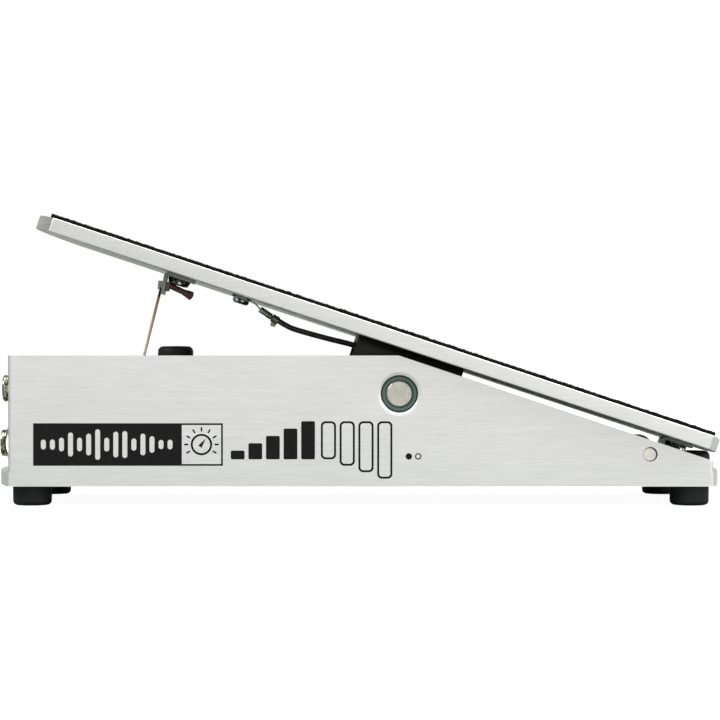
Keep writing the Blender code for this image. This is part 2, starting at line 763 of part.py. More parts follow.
def make_roller():
    roller = axle_empty("roller_axle", ROLLER_AXIS)
    bore = ROD_RADIUS + GAP
    groove = CORD_TURN - CORD_RADIUS - GAP
    rim = 5.9 * MM
    profile = [
        (bore, 18.0 * MM),
        (rim, 18.0 * MM),
        (rim, 17.0 * MM),
        (groove, 15.4 * MM),
        (groove, 12.6 * MM),
        (rim, 11.0 * MM),
        (rim, 10.0 * MM),
        (bore, 10.0 * MM),
    ]
    turned("cord_roller", profile, "black_plastic", closed=True, rotation=TO_NEAR, parent=roller)


def base_run():
    """Where the cord leaves the drum, where it reaches the roller, and the way between them."""
    along = (ROLLER_AXIS - DRUM_AXIS).normalized()
    down = Vector((along.z, 0.0, -along.x))
    shift = down * CORD_TURN + Vector((0.0, CORD_Y, 0.0))
    return DRUM_AXIS + shift, ROLLER_AXIS + shift, along


def make_spring():
    start, _, along = base_run()
    middle = start + along * (SPRING_X - start.x) / along.x
    half = SPRING_LENGTH / 2
    neck = 1.2 * MM
    profile = [
        (0, half),
        (neck, half),
        (SPRING_RADIUS, half - 2 * MM),
        (SPRING_RADIUS, 2 * MM - half),
        (neck, -half),
        (0, -half),
    ]
    tilt = math.atan2(along.x, along.z)
    turned("tension_spring", profile, "steel", steps=SMALL_ROUND, location=middle, rotation=(0, tilt, 0))
    return middle - along * (half + GAP), middle + along * (half + GAP)


def make_cord():
    spring_toe, spring_heel = make_spring()
    leave_drum, reach_roller, along = base_run()
    clear_winding = 4.2 * MM
    wire("cord_middle_run", [leave_drum + along * clear_winding, spring_toe], CORD_RADIUS, "cord")

    toe_hook = on_treadle(TONGUE_TOE - TONGUE_SHEET - 0.2 * MM, CORD_Y, BOARD_UNDER - 6.6 * MM)
    drum_centre = DRUM_AXIS + Vector((0.0, CORD_Y, 0.0))
    toe_touch = circle_tangent(drum_centre, CORD_TURN, toe_hook, 1)
    upward = (toe_hook - toe_touch).normalized()
    wire("cord_toe_run", [toe_touch + upward * clear_winding, toe_hook], CORD_RADIUS, "cord")

    heel_hook = on_treadle(TONGUE_HEEL - TONGUE_SHEET / 2 - CORD_RADIUS, CORD_Y, BOARD_UNDER - 5.2 * MM)
    roller_centre = ROLLER_AXIS + Vector((0.0, CORD_Y, 0.0))
    heel_touch = circle_tangent(roller_centre, CORD_TURN, heel_hook, -1)
    first = math.atan2(reach_roller.z - roller_centre.z, reach_roller.x - roller_centre.x)
    last = math.atan2(heel_touch.z - roller_centre.z, heel_touch.x - roller_centre.x)
    steps = 6
    turn = [first + (last - first) * i / steps for i in range(steps + 1)]
    wrap = [roller_centre + CORD_TURN * Vector((math.cos(a), 0.0, math.sin(a))) for a in turn]
    wire("cord_heel_run", [spring_heel, *wrap, heel_hook], CORD_RADIUS, "cord")


def make_cord_end(treadle):
    """The knot in front of the toe bracket's tongue, and the stiff tail of the cord that it leaves behind."""
    along = TONGUE_TOE - TONGUE_SHEET / 2 - 1.5 * MM
    out = BOARD_UNDER - 3.8 * MM
    knot = rounded_stub(1.2 * MM, 3.6 * MM, 0.5 * MM, steps=3)
    turned(
        "cord_knot", knot, "cord_knot", steps=16, parent=treadle, location=(along, CORD_Y, out - 1.9 * MM)
    )
    start = TONGUE_TOE + TONGUE_SHEET / 2 + GAP
    tail = cone_mesh(0.75 * MM, 1.1 * MM, 0.3 * MM, 9.5 * MM, 16)
    lean = math.radians(96)
    spot = (start, CORD_Y, BOARD_UNDER - 5.6 * MM)
    add("cord_tail", tail, "cord_tail", location=spot, rotation=(0, lean, 0), parent=treadle, smooth=True)


make_channel()
make_toe_panel()
for jack_name, (jack_y, jack_z) in JACKS.items():
    make_jack(jack_name, jack_y, jack_z)
make_base_screws()
make_rubber()
make_bushings()
make_heel_rod()
make_potentiometer()
TREADLE = axle_empty("treadle_axle", PIVOT, REST_TILT)
make_board(TREADLE)
make_shaft(TREADLE)
make_tongue("toe", TONGUE_TOE, TREADLE)
make_tongue("heel", TONGUE_HEEL, TREADLE)
make_ground_terminal(TREADLE)
make_wires(TREADLE)
make_drum()
make_roller()
make_cord()
make_cord_end(TREADLE)
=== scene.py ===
import json
import math

import bmesh
import bpy
from mathutils import Matrix, Vector, noise


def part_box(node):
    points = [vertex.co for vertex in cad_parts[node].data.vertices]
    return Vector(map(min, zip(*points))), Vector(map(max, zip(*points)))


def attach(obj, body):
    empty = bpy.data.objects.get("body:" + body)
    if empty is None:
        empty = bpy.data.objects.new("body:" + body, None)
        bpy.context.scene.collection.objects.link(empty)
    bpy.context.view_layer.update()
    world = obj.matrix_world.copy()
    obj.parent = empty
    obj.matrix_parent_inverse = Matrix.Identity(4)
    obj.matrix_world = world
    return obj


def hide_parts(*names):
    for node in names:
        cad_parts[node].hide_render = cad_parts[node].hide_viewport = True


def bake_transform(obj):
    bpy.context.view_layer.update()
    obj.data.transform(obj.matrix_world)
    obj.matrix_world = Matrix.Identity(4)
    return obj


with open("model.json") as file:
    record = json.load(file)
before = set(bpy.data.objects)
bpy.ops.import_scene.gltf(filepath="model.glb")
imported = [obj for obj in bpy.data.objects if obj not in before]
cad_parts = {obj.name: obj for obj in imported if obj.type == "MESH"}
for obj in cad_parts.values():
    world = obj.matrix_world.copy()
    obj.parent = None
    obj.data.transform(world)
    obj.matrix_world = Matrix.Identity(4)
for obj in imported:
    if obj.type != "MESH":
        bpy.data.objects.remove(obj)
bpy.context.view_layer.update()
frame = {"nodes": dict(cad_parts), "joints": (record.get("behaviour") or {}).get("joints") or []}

MM = 0.001
STILL = Matrix.Identity(4)
HINGE = next(joint for joint in frame["joints"] if joint["name"] == "treadle_hinge")
PIVOT = Vector(HINGE["pos_m"])
REST_TILT = math.radians(18.27)
TREADLE = Matrix.Translation(PIVOT) @ Matrix.Rotation(REST_TILT, 4, "Y")  # its frame has X along the board
TO_NEAR = Matrix.Rotation(math.pi / 2, 4, "X")  # turned pieces point to the near side
TO_FAR = Matrix.Rotation(-math.pi / 2, 4, "X")
TO_TOE = Matrix.Rotation(-math.pi / 2, 4, "Y")
FLIPPED = Matrix.Rotation(math.pi, 4, "X")


# ------------------------------------------------------------ nodes for materials and for geometry

def add_node(tree, kind, settings=None, inputs=None):
    """A node of a tree: its settings first, then the values or links of its sockets."""
    made = tree.nodes.new(kind)
    for key, value in (settings or {}).items():
        setattr(made, key, value)
    for key, value in (inputs or {}).items():
        if isinstance(value, Signal):
            tree.links.new(value.socket, made.inputs[key])
        elif isinstance(value, bpy.types.NodeSocket):
            tree.links.new(value, made.inputs[key])
        else:
            made.inputs[key].default_value = value
    return made


class Signal:
    """A number that varies over a surface. Sums on it add the nodes that work it out."""

    def __init__(self, look, socket):
        self.look = look
        self.socket = socket

    def sum(self, operation, first, second):
        node = self.look.node("ShaderNodeMath", {"operation": operation}, {0: first, 1: second})
        return Signal(self.look, node.outputs[0])

    def __add__(self, other):
        return self.sum("ADD", self, other)

    def __sub__(self, other):
        return self.sum("SUBTRACT", self, other)

    def __rsub__(self, other):
        return self.sum("SUBTRACT", other, self)

    def __mul__(self, other):
        return self.sum("MULTIPLY", self, other)

    __radd__ = __add__
    __rmul__ = __mul__


class Look:
    """A material around one Principled shader."""

    def __init__(self, name, colour, roughness, metallic=0.0, **constants):
        self.material = bpy.data.materials.new(name)
        self.material.use_nodes = True
        self.tree = self.material.node_tree
        self.shader = self.tree.nodes["Principled BSDF"]
        self.shader.inputs["Base Color"].default_value = (*colour, 1.0)
        self.shader.inputs["Roughness"].default_value = roughness
        self.shader.inputs["Metallic"].default_value = metallic
        for key, value in constants.items():
            self.shader.inputs[key.replace("_", " ")].default_value = value
        self.material.diffuse_color = (*colour, 1.0)

    def node(self, kind, settings=None, inputs=None):
        return add_node(self.tree, kind, settings, inputs)

    def place(self, stretch=(1, 1, 1), turn=(0, 0, 0), centre=(0, 0, 0), source="Object"):
        """The object's own coordinates, or its UV map, moved to a centre, turned and stretched."""
        start = self.node("ShaderNodeTexCoord").outputs[source]
        settings = {"vector_type": "POINT"}
        moved = self.node("ShaderNodeVectorMath", {"operation": "SUBTRACT"}, {0: start, 1: centre}).outputs[0]
        inputs = {"Vector": moved, "Rotation": turn, "Scale": stretch}
        return self.node("ShaderNodeMapping", settings, inputs).outputs[0]

    def noise(self, scale, detail=3.0, rough=0.5, **where):
        inputs = {"Vector": self.place(**where), "Scale": scale, "Detail": detail, "Roughness": rough}
        return Signal(self, self.node("ShaderNodeTexNoise", None, inputs).outputs[0])

    def cells(self, scale, **where):
        inputs = {"Vector": self.place(**where), "Scale": scale}
        return Signal(self, self.node("ShaderNodeTexVoronoi", None, inputs).outputs["Distance"])

    def waves(self, scale, distortion, direction="X", kind="BANDS", **where):
        settings = {"wave_type": kind, "wave_profile": "SIN"}
        settings["rings_direction" if kind == "RINGS" else "bands_direction"] = direction
        inputs = {"Vector": self.place(**where), "Scale": scale, "Distortion": distortion}
        return Signal(self, self.node("ShaderNodeTexWave", settings, inputs).outputs[0])

    def step(self, signal, low, high):
        """Rises from 0 at low to 1 at high."""
        settings = {"interpolation_type": "SMOOTHSTEP"}
        inputs = {"Value": signal, "From Min": low, "From Max": high}
        return Signal(self, self.node("ShaderNodeMapRange", settings, inputs).outputs[0])

    def mix(self, factor, first, second):
        """A colour between two colours, which are tuples or sockets."""
        first = (*first, 1.0) if isinstance(first, tuple) else first
        second = (*second, 1.0) if isinstance(second, tuple) else second
        node = self.node("ShaderNodeMix", {"data_type": "RGBA"}, {0: factor, 6: first, 7: second})
        return node.outputs[2]

    def feed(self, **signals):
        for key, value in signals.items():
            source = value.socket if isinstance(value, Signal) else value
            self.tree.links.new(source, self.shader.inputs[key.replace("_", " ")])
        return self

    def bump(self, height, distance, strength=1.0):
        inputs = {"Height": height, "Distance": distance, "Strength": strength}
        normal = self.node("ShaderNodeBump", None, inputs).outputs["Normal"]
        self.tree.links.new(normal, self.shader.inputs["Normal"])
        return self


class Growth:
    """A geometry tree with named sizes, which ends in plain geometry with one material."""

    def __init__(self, name, **sizes):
        self.tree = bpy.data.node_groups.new(name, "GeometryNodeTree")
        kinds = {float: "NodeSocketFloat", int: "NodeSocketInt", bpy.types.Object: "NodeSocketObject"}
        sockets = self.tree.interface
        sockets.new_socket("Geometry", in_out="INPUT", socket_type="NodeSocketGeometry")
        for label, kind in sizes.items():
            sockets.new_socket(label, in_out="INPUT", socket_type=kinds[kind])
        sockets.new_socket("Geometry", in_out="OUTPUT", socket_type="NodeSocketGeometry")
        self.size = self.tree.nodes.new("NodeGroupInput").outputs

    def node(self, kind, settings=None, inputs=None):
        return add_node(self.tree, kind, settings, inputs)

    def end(self, geometry, look):
        real = self.node("GeometryNodeRealizeInstances", None, {0: geometry}).outputs[0]
        coated = self.node("GeometryNodeSetMaterial", None, {"Geometry": real, "Material": look.material})
        self.node("NodeGroupOutput", None, {0: coated.outputs[0]})
        return self

    def grow(self, name, seed_mesh, **values):
        """Runs the tree on a mesh and returns a plain mesh object."""
        holder = bpy.data.objects.new("holder", seed_mesh)
        bpy.context.scene.collection.objects.link(holder)
        modifier = holder.modifiers.new("growth", "NODES")
        modifier.node_group = self.tree
        for item in self.tree.interface.items_tree:
            if item.in_out == "INPUT" and item.name in values:
                modifier[item.identifier] = values[item.name]
        mesh = evaluated_mesh(holder)
        bpy.data.objects.remove(holder, do_unlink=True)
        return new_object(name, mesh)


# ------------------------------------------------------------ meshes

def new_object(name, mesh):
    mesh.name = name
    obj = bpy.data.objects.new(name, mesh)
    bpy.context.scene.collection.objects.link(obj)
    return obj


def evaluated_mesh(obj):
    bpy.context.view_layer.update()
    graph = bpy.context.evaluated_depsgraph_get()
    return bpy.data.meshes.new_from_object(obj.evaluated_get(graph))


def settle(obj):
    """Makes the object's modifiers part of its mesh."""
    mesh = evaluated_mesh(obj)
    obj.modifiers.clear()
    obj.data = mesh
    return obj


def from_bmesh(name, shell, merge=True):
    if merge:
        bmesh.ops.remove_doubles(shell, verts=shell.verts, dist=0.0005 * MM)
        bmesh.ops.recalc_face_normals(shell, faces=shell.faces)
    mesh = bpy.data.meshes.new(name)
    shell.to_mesh(mesh)
    shell.free()
    return new_object(name, mesh)


def put(obj, matrix):
    obj.data.transform(matrix)
    obj.data.update()
    return obj


def smooth(obj, angle=35.0):
    obj.data.shade_smooth()
    obj.data.set_sharp_from_angle(angle=math.radians(angle))
    return obj


def bevel(obj, width, segments=2, angle=30.0):
    """Rounds the sharp edges of the object, and keeps its flat faces flat."""
    modifier = obj.modifiers.new("edges", "BEVEL")
    modifier.width = width
    modifier.segments = segments
    modifier.limit_method = "ANGLE"
    modifier.angle_limit = math.radians(angle)
    smooth(settle(obj))
    normals = obj.modifiers.new("normals", "WEIGHTED_NORMAL")
    normals.keep_sharp = True
    return settle(obj)


def combine(obj, tool, operation="DIFFERENCE"):
    """Cuts the object with a tool, joins them or keeps what they share. The tool is used up."""
    modifier = obj.modifiers.new("combine", "BOOLEAN")
    modifier.operation = operation
    modifier.solver = "EXACT"
    modifier.object = tool
    settle(obj)
    bpy.data.objects.remove(tool, do_unlink=True)
    return obj


def tidy(obj):
    """Joins the flat faces that a cut leaves in pieces."""
    flat = math.radians(0.5)
    shell = bmesh.new()
    shell.from_mesh(obj.data)
    bmesh.ops.remove_doubles(shell, verts=shell.verts, dist=0.0005 * MM)
    bmesh.ops.dissolve_limit(shell, angle_limit=flat, verts=shell.verts, edges=shell.edges)
    shell.to_mesh(obj.data)
    shell.free()
    return obj


def join(name, *pieces):
    """One object from several, which are used up."""
    shell = bmesh.new()
    for piece in pieces:
        shell.from_mesh(piece.data)
        bpy.data.objects.remove(piece, do_unlink=True)
    mesh = bpy.data.meshes.new(name)
    shell.to_mesh(mesh)
    shell.free()
    return smooth(new_object(name, mesh))


def turned(name, profile, steps=96, matrix=STILL, closed=False):
    """A piece turned round Z, from points (radius, height)."""
    shell = bmesh.new()
    rows = []
    for k in range(steps):
        across, along = math.cos(2 * math.pi * k / steps), math.sin(2 * math.pi * k / steps)
        rows.append([shell.verts.new((r * across, r * along, height)) for r, height in profile])
    spans = [(i - 1, i) for i in range(0 if closed else 1, len(profile))]
    for k, row in enumerate(rows):
        for i, j in spans:
            shell.faces.new((rows[k - 1][i], row[i], row[j], rows[k - 1][j]))
    return smooth(put(from_bmesh(name, shell), matrix))


def slab(name, outline, low, high, along="Z"):
    """An outline made thick along X, Y or Z. Its points are the other two coordinates, in order."""
    orders = {
        "Z": lambda a, b, c: (a, b, c),
        "Y": lambda a, b, c: (a, c, b),
        "X": lambda a, b, c: (c, a, b),
    }
    order = orders[along]
    shell = bmesh.new()
    first = [shell.verts.new(order(a, b, low)) for a, b in outline]
    last = [shell.verts.new(order(a, b, high)) for a, b in outline]
    for i in range(len(outline)):
        shell.faces.new((first[i - 1], first[i], last[i], last[i - 1]))
    shell.faces.new(first)
    shell.faces.new(last)
    return from_bmesh(name, shell)


def rod(name, radius, low, high, matrix=STILL, steps=64):
    """A plain cylinder along Z, used as a tool for cuts."""
    return turned(name, [(0, high), (radius, high), (radius, low), (0, low)], steps, matrix)


def rounded(points, radius, steps=6, closed=True):
    """The points with each corner replaced by an arc. A radius can be given for each corner."""
    radii = radius if isinstance(radius, (list, tuple)) else [radius] * len(points)
    result = []
    for i, corner in enumerate(points):
        if not closed and i in (0, len(points) - 1) or radii[i] == 0:
            result.append(tuple(corner))
            continue
        here = Vector(corner)
        before = (Vector(points[i - 1]) - here).normalized()
        after = (Vector(points[(i + 1) % len(points)]) - here).normalized()
        half = before.angle(after) / 2
        if math.pi / 2 - half < 0.01:
            result.append(tuple(corner))
            continue
        middle = here + (before + after).normalized() * radii[i] / math.sin(half)
        start = here + before * radii[i] / math.tan(half) - middle
        sweep = (here + after * radii[i] / math.tan(half) - middle).angle_signed(start)
        for k in range(steps + 1):
            angle = sweep * k / steps
            turn = Vector((
                start.x * math.cos(angle) - start.y * math.sin(angle),
                start.x * math.sin(angle) + start.y * math.cos(angle),
            ))
            result.append(tuple(middle + turn))
    return result


def box_outline(x_low, x_high, y_low, y_high):
    return [(x_low, y_low), (x_high, y_low), (x_high, y_high), (x_low, y_high)]


def circle(x, y, radius, steps=48):
    angles = [2 * math.pi * i / steps for i in range(steps)]
    return [(x + radius * math.cos(a), y + radius * math.sin(a)) for a in angles]


def thick_line(points, thickness):
    """The outline of a bent sheet of this thickness, from its middle line."""
    sides = ([], [])
    for i, point in enumerate(points):
        ahead = Vector(points[min(i + 1, len(points) - 1)]) - Vector(points[max(i - 1, 0)])
        square = Vector((-ahead.y, ahead.x)).normalized() * thickness / 2
        sides[0].append(tuple(Vector(point) + square))
        sides[1].append(tuple(Vector(point) - square))
    return sides[0] + sides[1][::-1]


def bow(end, half_width, rise, steps=48):
    """An arc across the width that stands out by the rise, past an end at this place."""
    radius = (half_width**2 + rise**2) / (2 * abs(rise))
    sign = math.copysign(1.0, rise)
    half_angle = math.asin(half_width / radius)
    centre = end + rise - sign * radius
    angles = [half_angle * (2 * i / steps - 1) for i in range(steps + 1)]
    return [(centre + sign * radius * math.cos(a), sign * radius * math.sin(a)) for a in angles]


def bowed_outline(toe, heel, half_width, toe_rise, heel_rise, steps=48):
    return bow(heel, half_width, heel_rise, steps) + bow(toe, half_width, -toe_rise, steps)


def smooth_path(points, spacing):
    """Points a spacing apart on a smooth curve through the given points."""
    knots = [Vector(p) for p in points]
    padded = [2 * knots[0] - knots[1], *knots, 2 * knots[-1] - knots[-2]]
    path = []
    for a, b, c, d in zip(padded, padded[1:], padded[2:], padded[3:]):
        count = max(2, math.ceil((c - b).length / spacing))
        for i in range(count):
            t = i / count
            path.append(0.5 * (
                2 * b + (c - a) * t + (2 * a - 5 * b + 4 * c - d) * t * t + (3 * b - a - 3 * c + d) * t**3
            ))
    return path + [knots[-1]]


def tube(name, path, radius, sides=16, radii=None):
    """A round tube along a path, with its length in metres along U and its turn along V."""
    path = [Vector(p) for p in path]
    shell = bmesh.new()
    uv = shell.loops.layers.uv.new("UVMap")
    across = None
    rings = []
    length = 0.0
    lengths = []
    for i, point in enumerate(path):
        ahead = (path[min(i + 1, len(path) - 1)] - path[max(i - 1, 0)]).normalized()
        if across is None:
            across = ahead.orthogonal().normalized()
        across = (across - ahead * across.dot(ahead)).normalized()
        other = ahead.cross(across)
        size = radius if radii is None else radii(i / (len(path) - 1))
        ring = []
        for k in range(sides):
            angle = 2 * math.pi * k / sides
            ring.append(shell.verts.new(point + (across * math.cos(angle) + other * math.sin(angle)) * size))
        rings.append(ring)
        if i:
            length += (point - path[i - 1]).length
        lengths.append(length)
    for i in range(len(rings) - 1):
        for k in range(sides):
            n = (k + 1) % sides
            face = shell.faces.new((rings[i][k], rings[i][n], rings[i + 1][n], rings[i + 1][k]))
            spots = ((i, k), (i, k + 1), (i + 1, k + 1), (i + 1, k))
            for loop, (row, column) in zip(face.loops, spots):
                loop[uv].uv = (lengths[row], column / sides)
    shell.faces.new(rings[0][::-1])
    shell.faces.new(rings[-1])
    obj = from_bmesh(name, shell, merge=False)
    return smooth(obj, 60)


def flat_print(name, outlines, thickness, matrix):
    """Ink of a small thickness from closed outlines. Where one lies in another, it is a hole."""
    curve = bpy.data.curves.new(name, "CURVE")
    curve.dimensions = "2D"
    curve.fill_mode = "BOTH"
    curve.extrude = thickness / 2
    for outline in outlines:
        spline = curve.splines.new("POLY")
        spline.points.add(len(outline) - 1)
        for point, (x, y) in zip(spline.points, outline):
            point.co = (x, y, 0.0, 1.0)
        spline.use_cyclic_u = True
    holder = bpy.data.objects.new(name, curve)
    bpy.context.scene.collection.objects.link(holder)
    mesh = evaluated_mesh(holder)
    bpy.data.objects.remove(holder, do_unlink=True)
    shell = bmesh.new()
    shell.from_mesh(mesh)
    obj = from_bmesh(name, shell)
    return put(obj, matrix)


def treadle_box(node):
    """The lowest and highest corners of a CAD node in the treadle's own frame."""
    back = TREADLE.inverted()
    spots = [back @ v.co for v in frame["nodes"][node].data.vertices]
    low = Vector([min(p[i] for p in spots) for i in range(3)])
    high = Vector([max(p[i] for p in spots) for i in range(3)])
    return low, high


def show(obj, body, look, slot, *nodes):
    """Gives a finished piece its material and its body, and hides the CAD nodes that it stands for; the slot
    is not used.
    """
    obj.data.materials.clear()
    obj.data.materials.append(look.material)
    if nodes:
        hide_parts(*nodes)
    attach(obj, body)


# ------------------------------------------------------------ finishes

def brushed_aluminium(name, colour, along=(0, 0, 0), rough=0.36, fine=1.0, painted_toe_shade=1.0):
    """Aluminium with fine lines along X, turned by the angles given, and painted shade that darkens its
    colour toward the toe end.
    """
    look = Look(name, colour, rough, 1.0)
    streak = look.noise(2300 * fine, 2.0, 0.7, stretch=(0.05, 0.05, 1.0), turn=along)
    broad = look.noise(800 * fine, 3.0, 0.6, stretch=(0.035, 0.035, 1.0), turn=along)
    cloud = look.noise(26, 3.0, 0.5)
    dark = tuple(c * 0.80 for c in colour)
    light = tuple(min(1.0, c * 1.10) for c in colour)
    tone = look.mix(streak * 0.55 + broad * 0.35 + cloud * 0.1, dark, light)
    roughness = streak * 0.10 + broad * 0.08 + cloud * 0.05 + (rough - 0.115)
    split = look.node("ShaderNodeSeparateXYZ", None, {0: look.place()})
    heelward = look.step(Signal(look, split.outputs[0]), -0.13, 0.11)
    # painted shade: the colour is multiplied down toward the toe end by the toe shade factor
    shade = 1 - (1 - heelward) * (1 - painted_toe_shade)
    settings = {"data_type": "RGBA", "blend_type": "MULTIPLY"}
    shaded = look.node("ShaderNodeMix", settings, {0: 1.0, 6: tone, 7: shade})
    look.feed(Base_Color=shaded.outputs[2], Roughness=roughness)
    return look.bump(streak * 0.7 + broad * 0.3, 0.010 * MM, 0.55)


def satin_metal(name, colour, rough, grain=900.0, spots=0.06):
    """Plated or tumbled metal with a fine uneven grain and faint darker clouds."""
    look = Look(name, colour, rough, 1.0)
    fine = look.noise(grain, 3.0, 0.6)
    cloud = look.noise(130, 4.0, 0.6)
    dark = tuple(c * (1 - 3 * spots) for c in colour)
    look.feed(
        Base_Color=look.mix(look.step(cloud, 0.35, 0.75), colour, dark),
        Roughness=fine * 0.12 + cloud * 0.10 + (rough - 0.11),
    )
    return look.bump(fine, 0.006 * MM, 0.4)


def worn_metal(name, dull, bright, rough):
    """Metal with dull skin and bright worn patches."""
    look = Look(name, bright, rough, 1.0)
    patches = look.noise(520, 2.0, 0.5)
    return look.feed(
        Base_Color=look.mix(look.step(patches, 0.50, 0.60), dull, bright),
        Roughness=patches * 0.1 + (rough - 0.05),
    )


def painted(name, colour, rough):
    """Black paint or anodising with a slight orange peel."""
    look = Look(name, colour, rough, Specular_IOR_Level=0.3)
    peel = look.noise(1500, 2.0, 0.5)
    cloud = look.noise(60, 4.0, 0.6)
    paler = tuple(min(1.0, c * 1.5 + 0.004) for c in colour)
    look.feed(Base_Color=look.mix(cloud, colour, paler), Roughness=cloud * 0.15 + (rough - 0.07))
    return look.bump(peel, 0.012 * MM, 0.35)


def moulded_rubber(name):
    """Black rubber with a fine matt skin and a dusting in its hollows."""
    look = Look(name, (0.016, 0.018, 0.016), 0.62, 0.0, Specular_IOR_Level=0.2)
    skin = look.noise(2400, 3.0, 0.6)
    dust = look.noise(70, 5.0, 0.6)
    look.feed(
        Base_Color=look.mix(look.step(dust, 0.45, 0.8), (0.006, 0.0075, 0.0065), (0.014, 0.017, 0.015)),
        Roughness=skin * 0.2 + dust * 0.1 + 0.42,
    )
    return look.bump(skin, 0.02 * MM, 0.5)


def mineral_grit(name):
    """Coarse black mineral grains in a black binder."""
    look = Look(name, (0.004, 0.004, 0.004), 0.8, 0.0, Specular_IOR_Level=0.08)
    grain = look.cells(1500)
    cloud = look.noise(45, 4.0, 0.6)
    tint = look.noise(1100, 1.0, 0.5)
    look.feed(
        Base_Color=look.mix(look.step(tint, 0.5, 0.78), (0.0025, 0.0025, 0.0025), (0.014, 0.0145, 0.015)),
        Roughness=tint * 0.5 + cloud * 0.2 + 0.25,
    )
    return look.bump(grain, 0.08 * MM, 0.7)


def braided_cord(name, low_z, high_z):
    """A waxed cord: its strands wind round it, and it is olive tan low down and orange brown at its top."""
    look = Look(name, (0.42, 0.25, 0.12), 0.6, 0.0)
    strands = look.waves(900, 0.6, source="UV", stretch=(1.0, 0.0023, 1.0), turn=(0, 0, 0.55))
    fibres = look.noise(6000, 2.0, 0.6, source="UV", stretch=(1.0, 0.004, 1.0))
    split = look.node("ShaderNodeSeparateXYZ", None, {0: look.place()})
    height = look.step(Signal(look, split.outputs[2]), low_z, high_z)
    body = look.mix(height, (0.50, 0.40, 0.24), (0.42, 0.16, 0.045))
    pale = look.mix(height, (0.74, 0.68, 0.50), (0.68, 0.33, 0.10))
    look.feed(Base_Color=look.mix(strands * 0.65 + fibres * 0.3, body, pale), Roughness=fibres * 0.3 + 0.42)
    return look.bump(strands * 0.8 + fibres * 0.2, 0.05 * MM, 0.8)


def insulated_wire(name, colour):
    look = Look(name, colour, 0.42, 0.0)
    skin = look.noise(900, 3.0, 0.5)
    paler = tuple(min(1.0, c * 1.7 + 0.004) for c in colour)
    look.feed(Base_Color=look.mix(skin, colour, paler), Roughness=skin * 0.2 + 0.32)
    return look.bump(skin, 0.02 * MM, 0.4)


def turned_face(name, colour, rough, centre):
    """Metal whose face keeps the fine rings of the lathe round its centre."""
    look = Look(name, colour, rough, 1.0)
    flat = (1, 0.001, 1)
    rings = look.waves(900, 1.5, kind="RINGS", direction="SPHERICAL", centre=centre, stretch=flat)
    cloud = look.noise(420, 4.0, 0.65)
    dark = tuple(c * 0.80 for c in colour)
    look.feed(
        Base_Color=look.mix(look.step(cloud, 0.3, 0.72) * 0.8 + rings * 0.2, dark, colour),
        Roughness=cloud * 0.16 + rings * 0.05 + (rough - 0.1),
    )
    return look.bump(rings * 0.5 + cloud * 0.5, 0.010 * MM, 0.5)


HOUSING_METAL = brushed_aluminium("housing_brushed_aluminium", (0.88, 0.89, 0.87))
# the board's colour carries painted shade toward its toe end
BOARD_METAL = brushed_aluminium(
    "board_satin_aluminium", (0.88, 0.89, 0.87), along=(0, -REST_TILT, 0), rough=0.4, fine=0.8, painted_toe_shade=0.82
)
GRIT = mineral_grit("grip_mineral_grit")
BLACK_PAINT = painted("bracket_black_paint", (0.012, 0.014, 0.012), 0.45)
RUBBER = moulded_rubber("foot_black_rubber")
BEARING = painted("bearing_grey_green", (0.050, 0.085, 0.075), 0.45)
SHAFT_STEEL = turned_face("shaft_turned_steel", (0.66, 0.66, 0.58), 0.34, tuple(PIVOT))
ROD_AXIS = sum(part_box("heel_cross_rod"), Vector()) / 2
ROD_STEEL = turned_face("rod_turned_steel", (0.93, 0.92, 0.86), 0.34, tuple(ROD_AXIS))
SCREW_STEEL = satin_metal("screw_steel", (0.42, 0.43, 0.41), 0.30)
WORN_STEEL = worn_metal("screw_worn_steel", (0.035, 0.04, 0.033), (0.80, 0.81, 0.76), 0.2)
WASHER_STEEL = satin_metal("washer_blued_steel", (0.06, 0.075, 0.06), 0.34)
NICKEL = satin_metal("jack_nickel", (0.60, 0.59, 0.55), 0.20, spots=0.03)
MOUTH_NICKEL = worn_metal("jack_mouth_nickel", (0.16, 0.16, 0.11), (0.50, 0.49, 0.42), 0.16)
ZINC = satin_metal("sheet_zinc", (0.52, 0.54, 0.51), 0.36, 500, 0.08)
# zinc sheet darkened with painted shade, for the angles that sit under the board
UNDERBOARD_ZINC_PAINTED_SHADE = satin_metal("angle_dark_steel", (0.22, 0.25, 0.21), 0.34, 500, 0.08)
TIN = satin_metal("terminal_tinned_brass", (0.60, 0.62, 0.56), 0.28, 1200, 0.1)
CRIMP = satin_metal("crimp_dull_tin", (0.26, 0.29, 0.24), 0.26, 1500, 0.2)
BLACK_PLASTIC = painted("moulded_black_plastic", (0.014, 0.014, 0.014), 0.35)
CORD = braided_cord("cord_waxed_braid", 0.05, 0.075)
KNOT = Look("knot_pale_cord", (0.44, 0.41, 0.34), 0.7)
TAIL = Look("tail_red_brown", (0.055, 0.016, 0.012), 0.42)
CLAMP = Look("clamp_grey_brown", (0.16, 0.11, 0.085), 0.5)
WIRE = insulated_wire("wire_black", (0.010, 0.010, 0.010))
RED_WIRE = insulated_wire("wire_red", (0.35, 0.02, 0.015))
WHITE_WIRE = insulated_wire("wire_white", (0.62, 0.61, 0.57))
INK = Look("print_black_ink", (0.005, 0.005, 0.005), 0.5, Specular_IOR_Level=0.08)
SPRING_STEEL = satin_metal("spring_steel", (0.50, 0.50, 0.48), 0.22, 700, 0.04)
BOARD_FIBRE = painted("pot_brown_board", (0.16, 0.07, 0.03), 0.5)


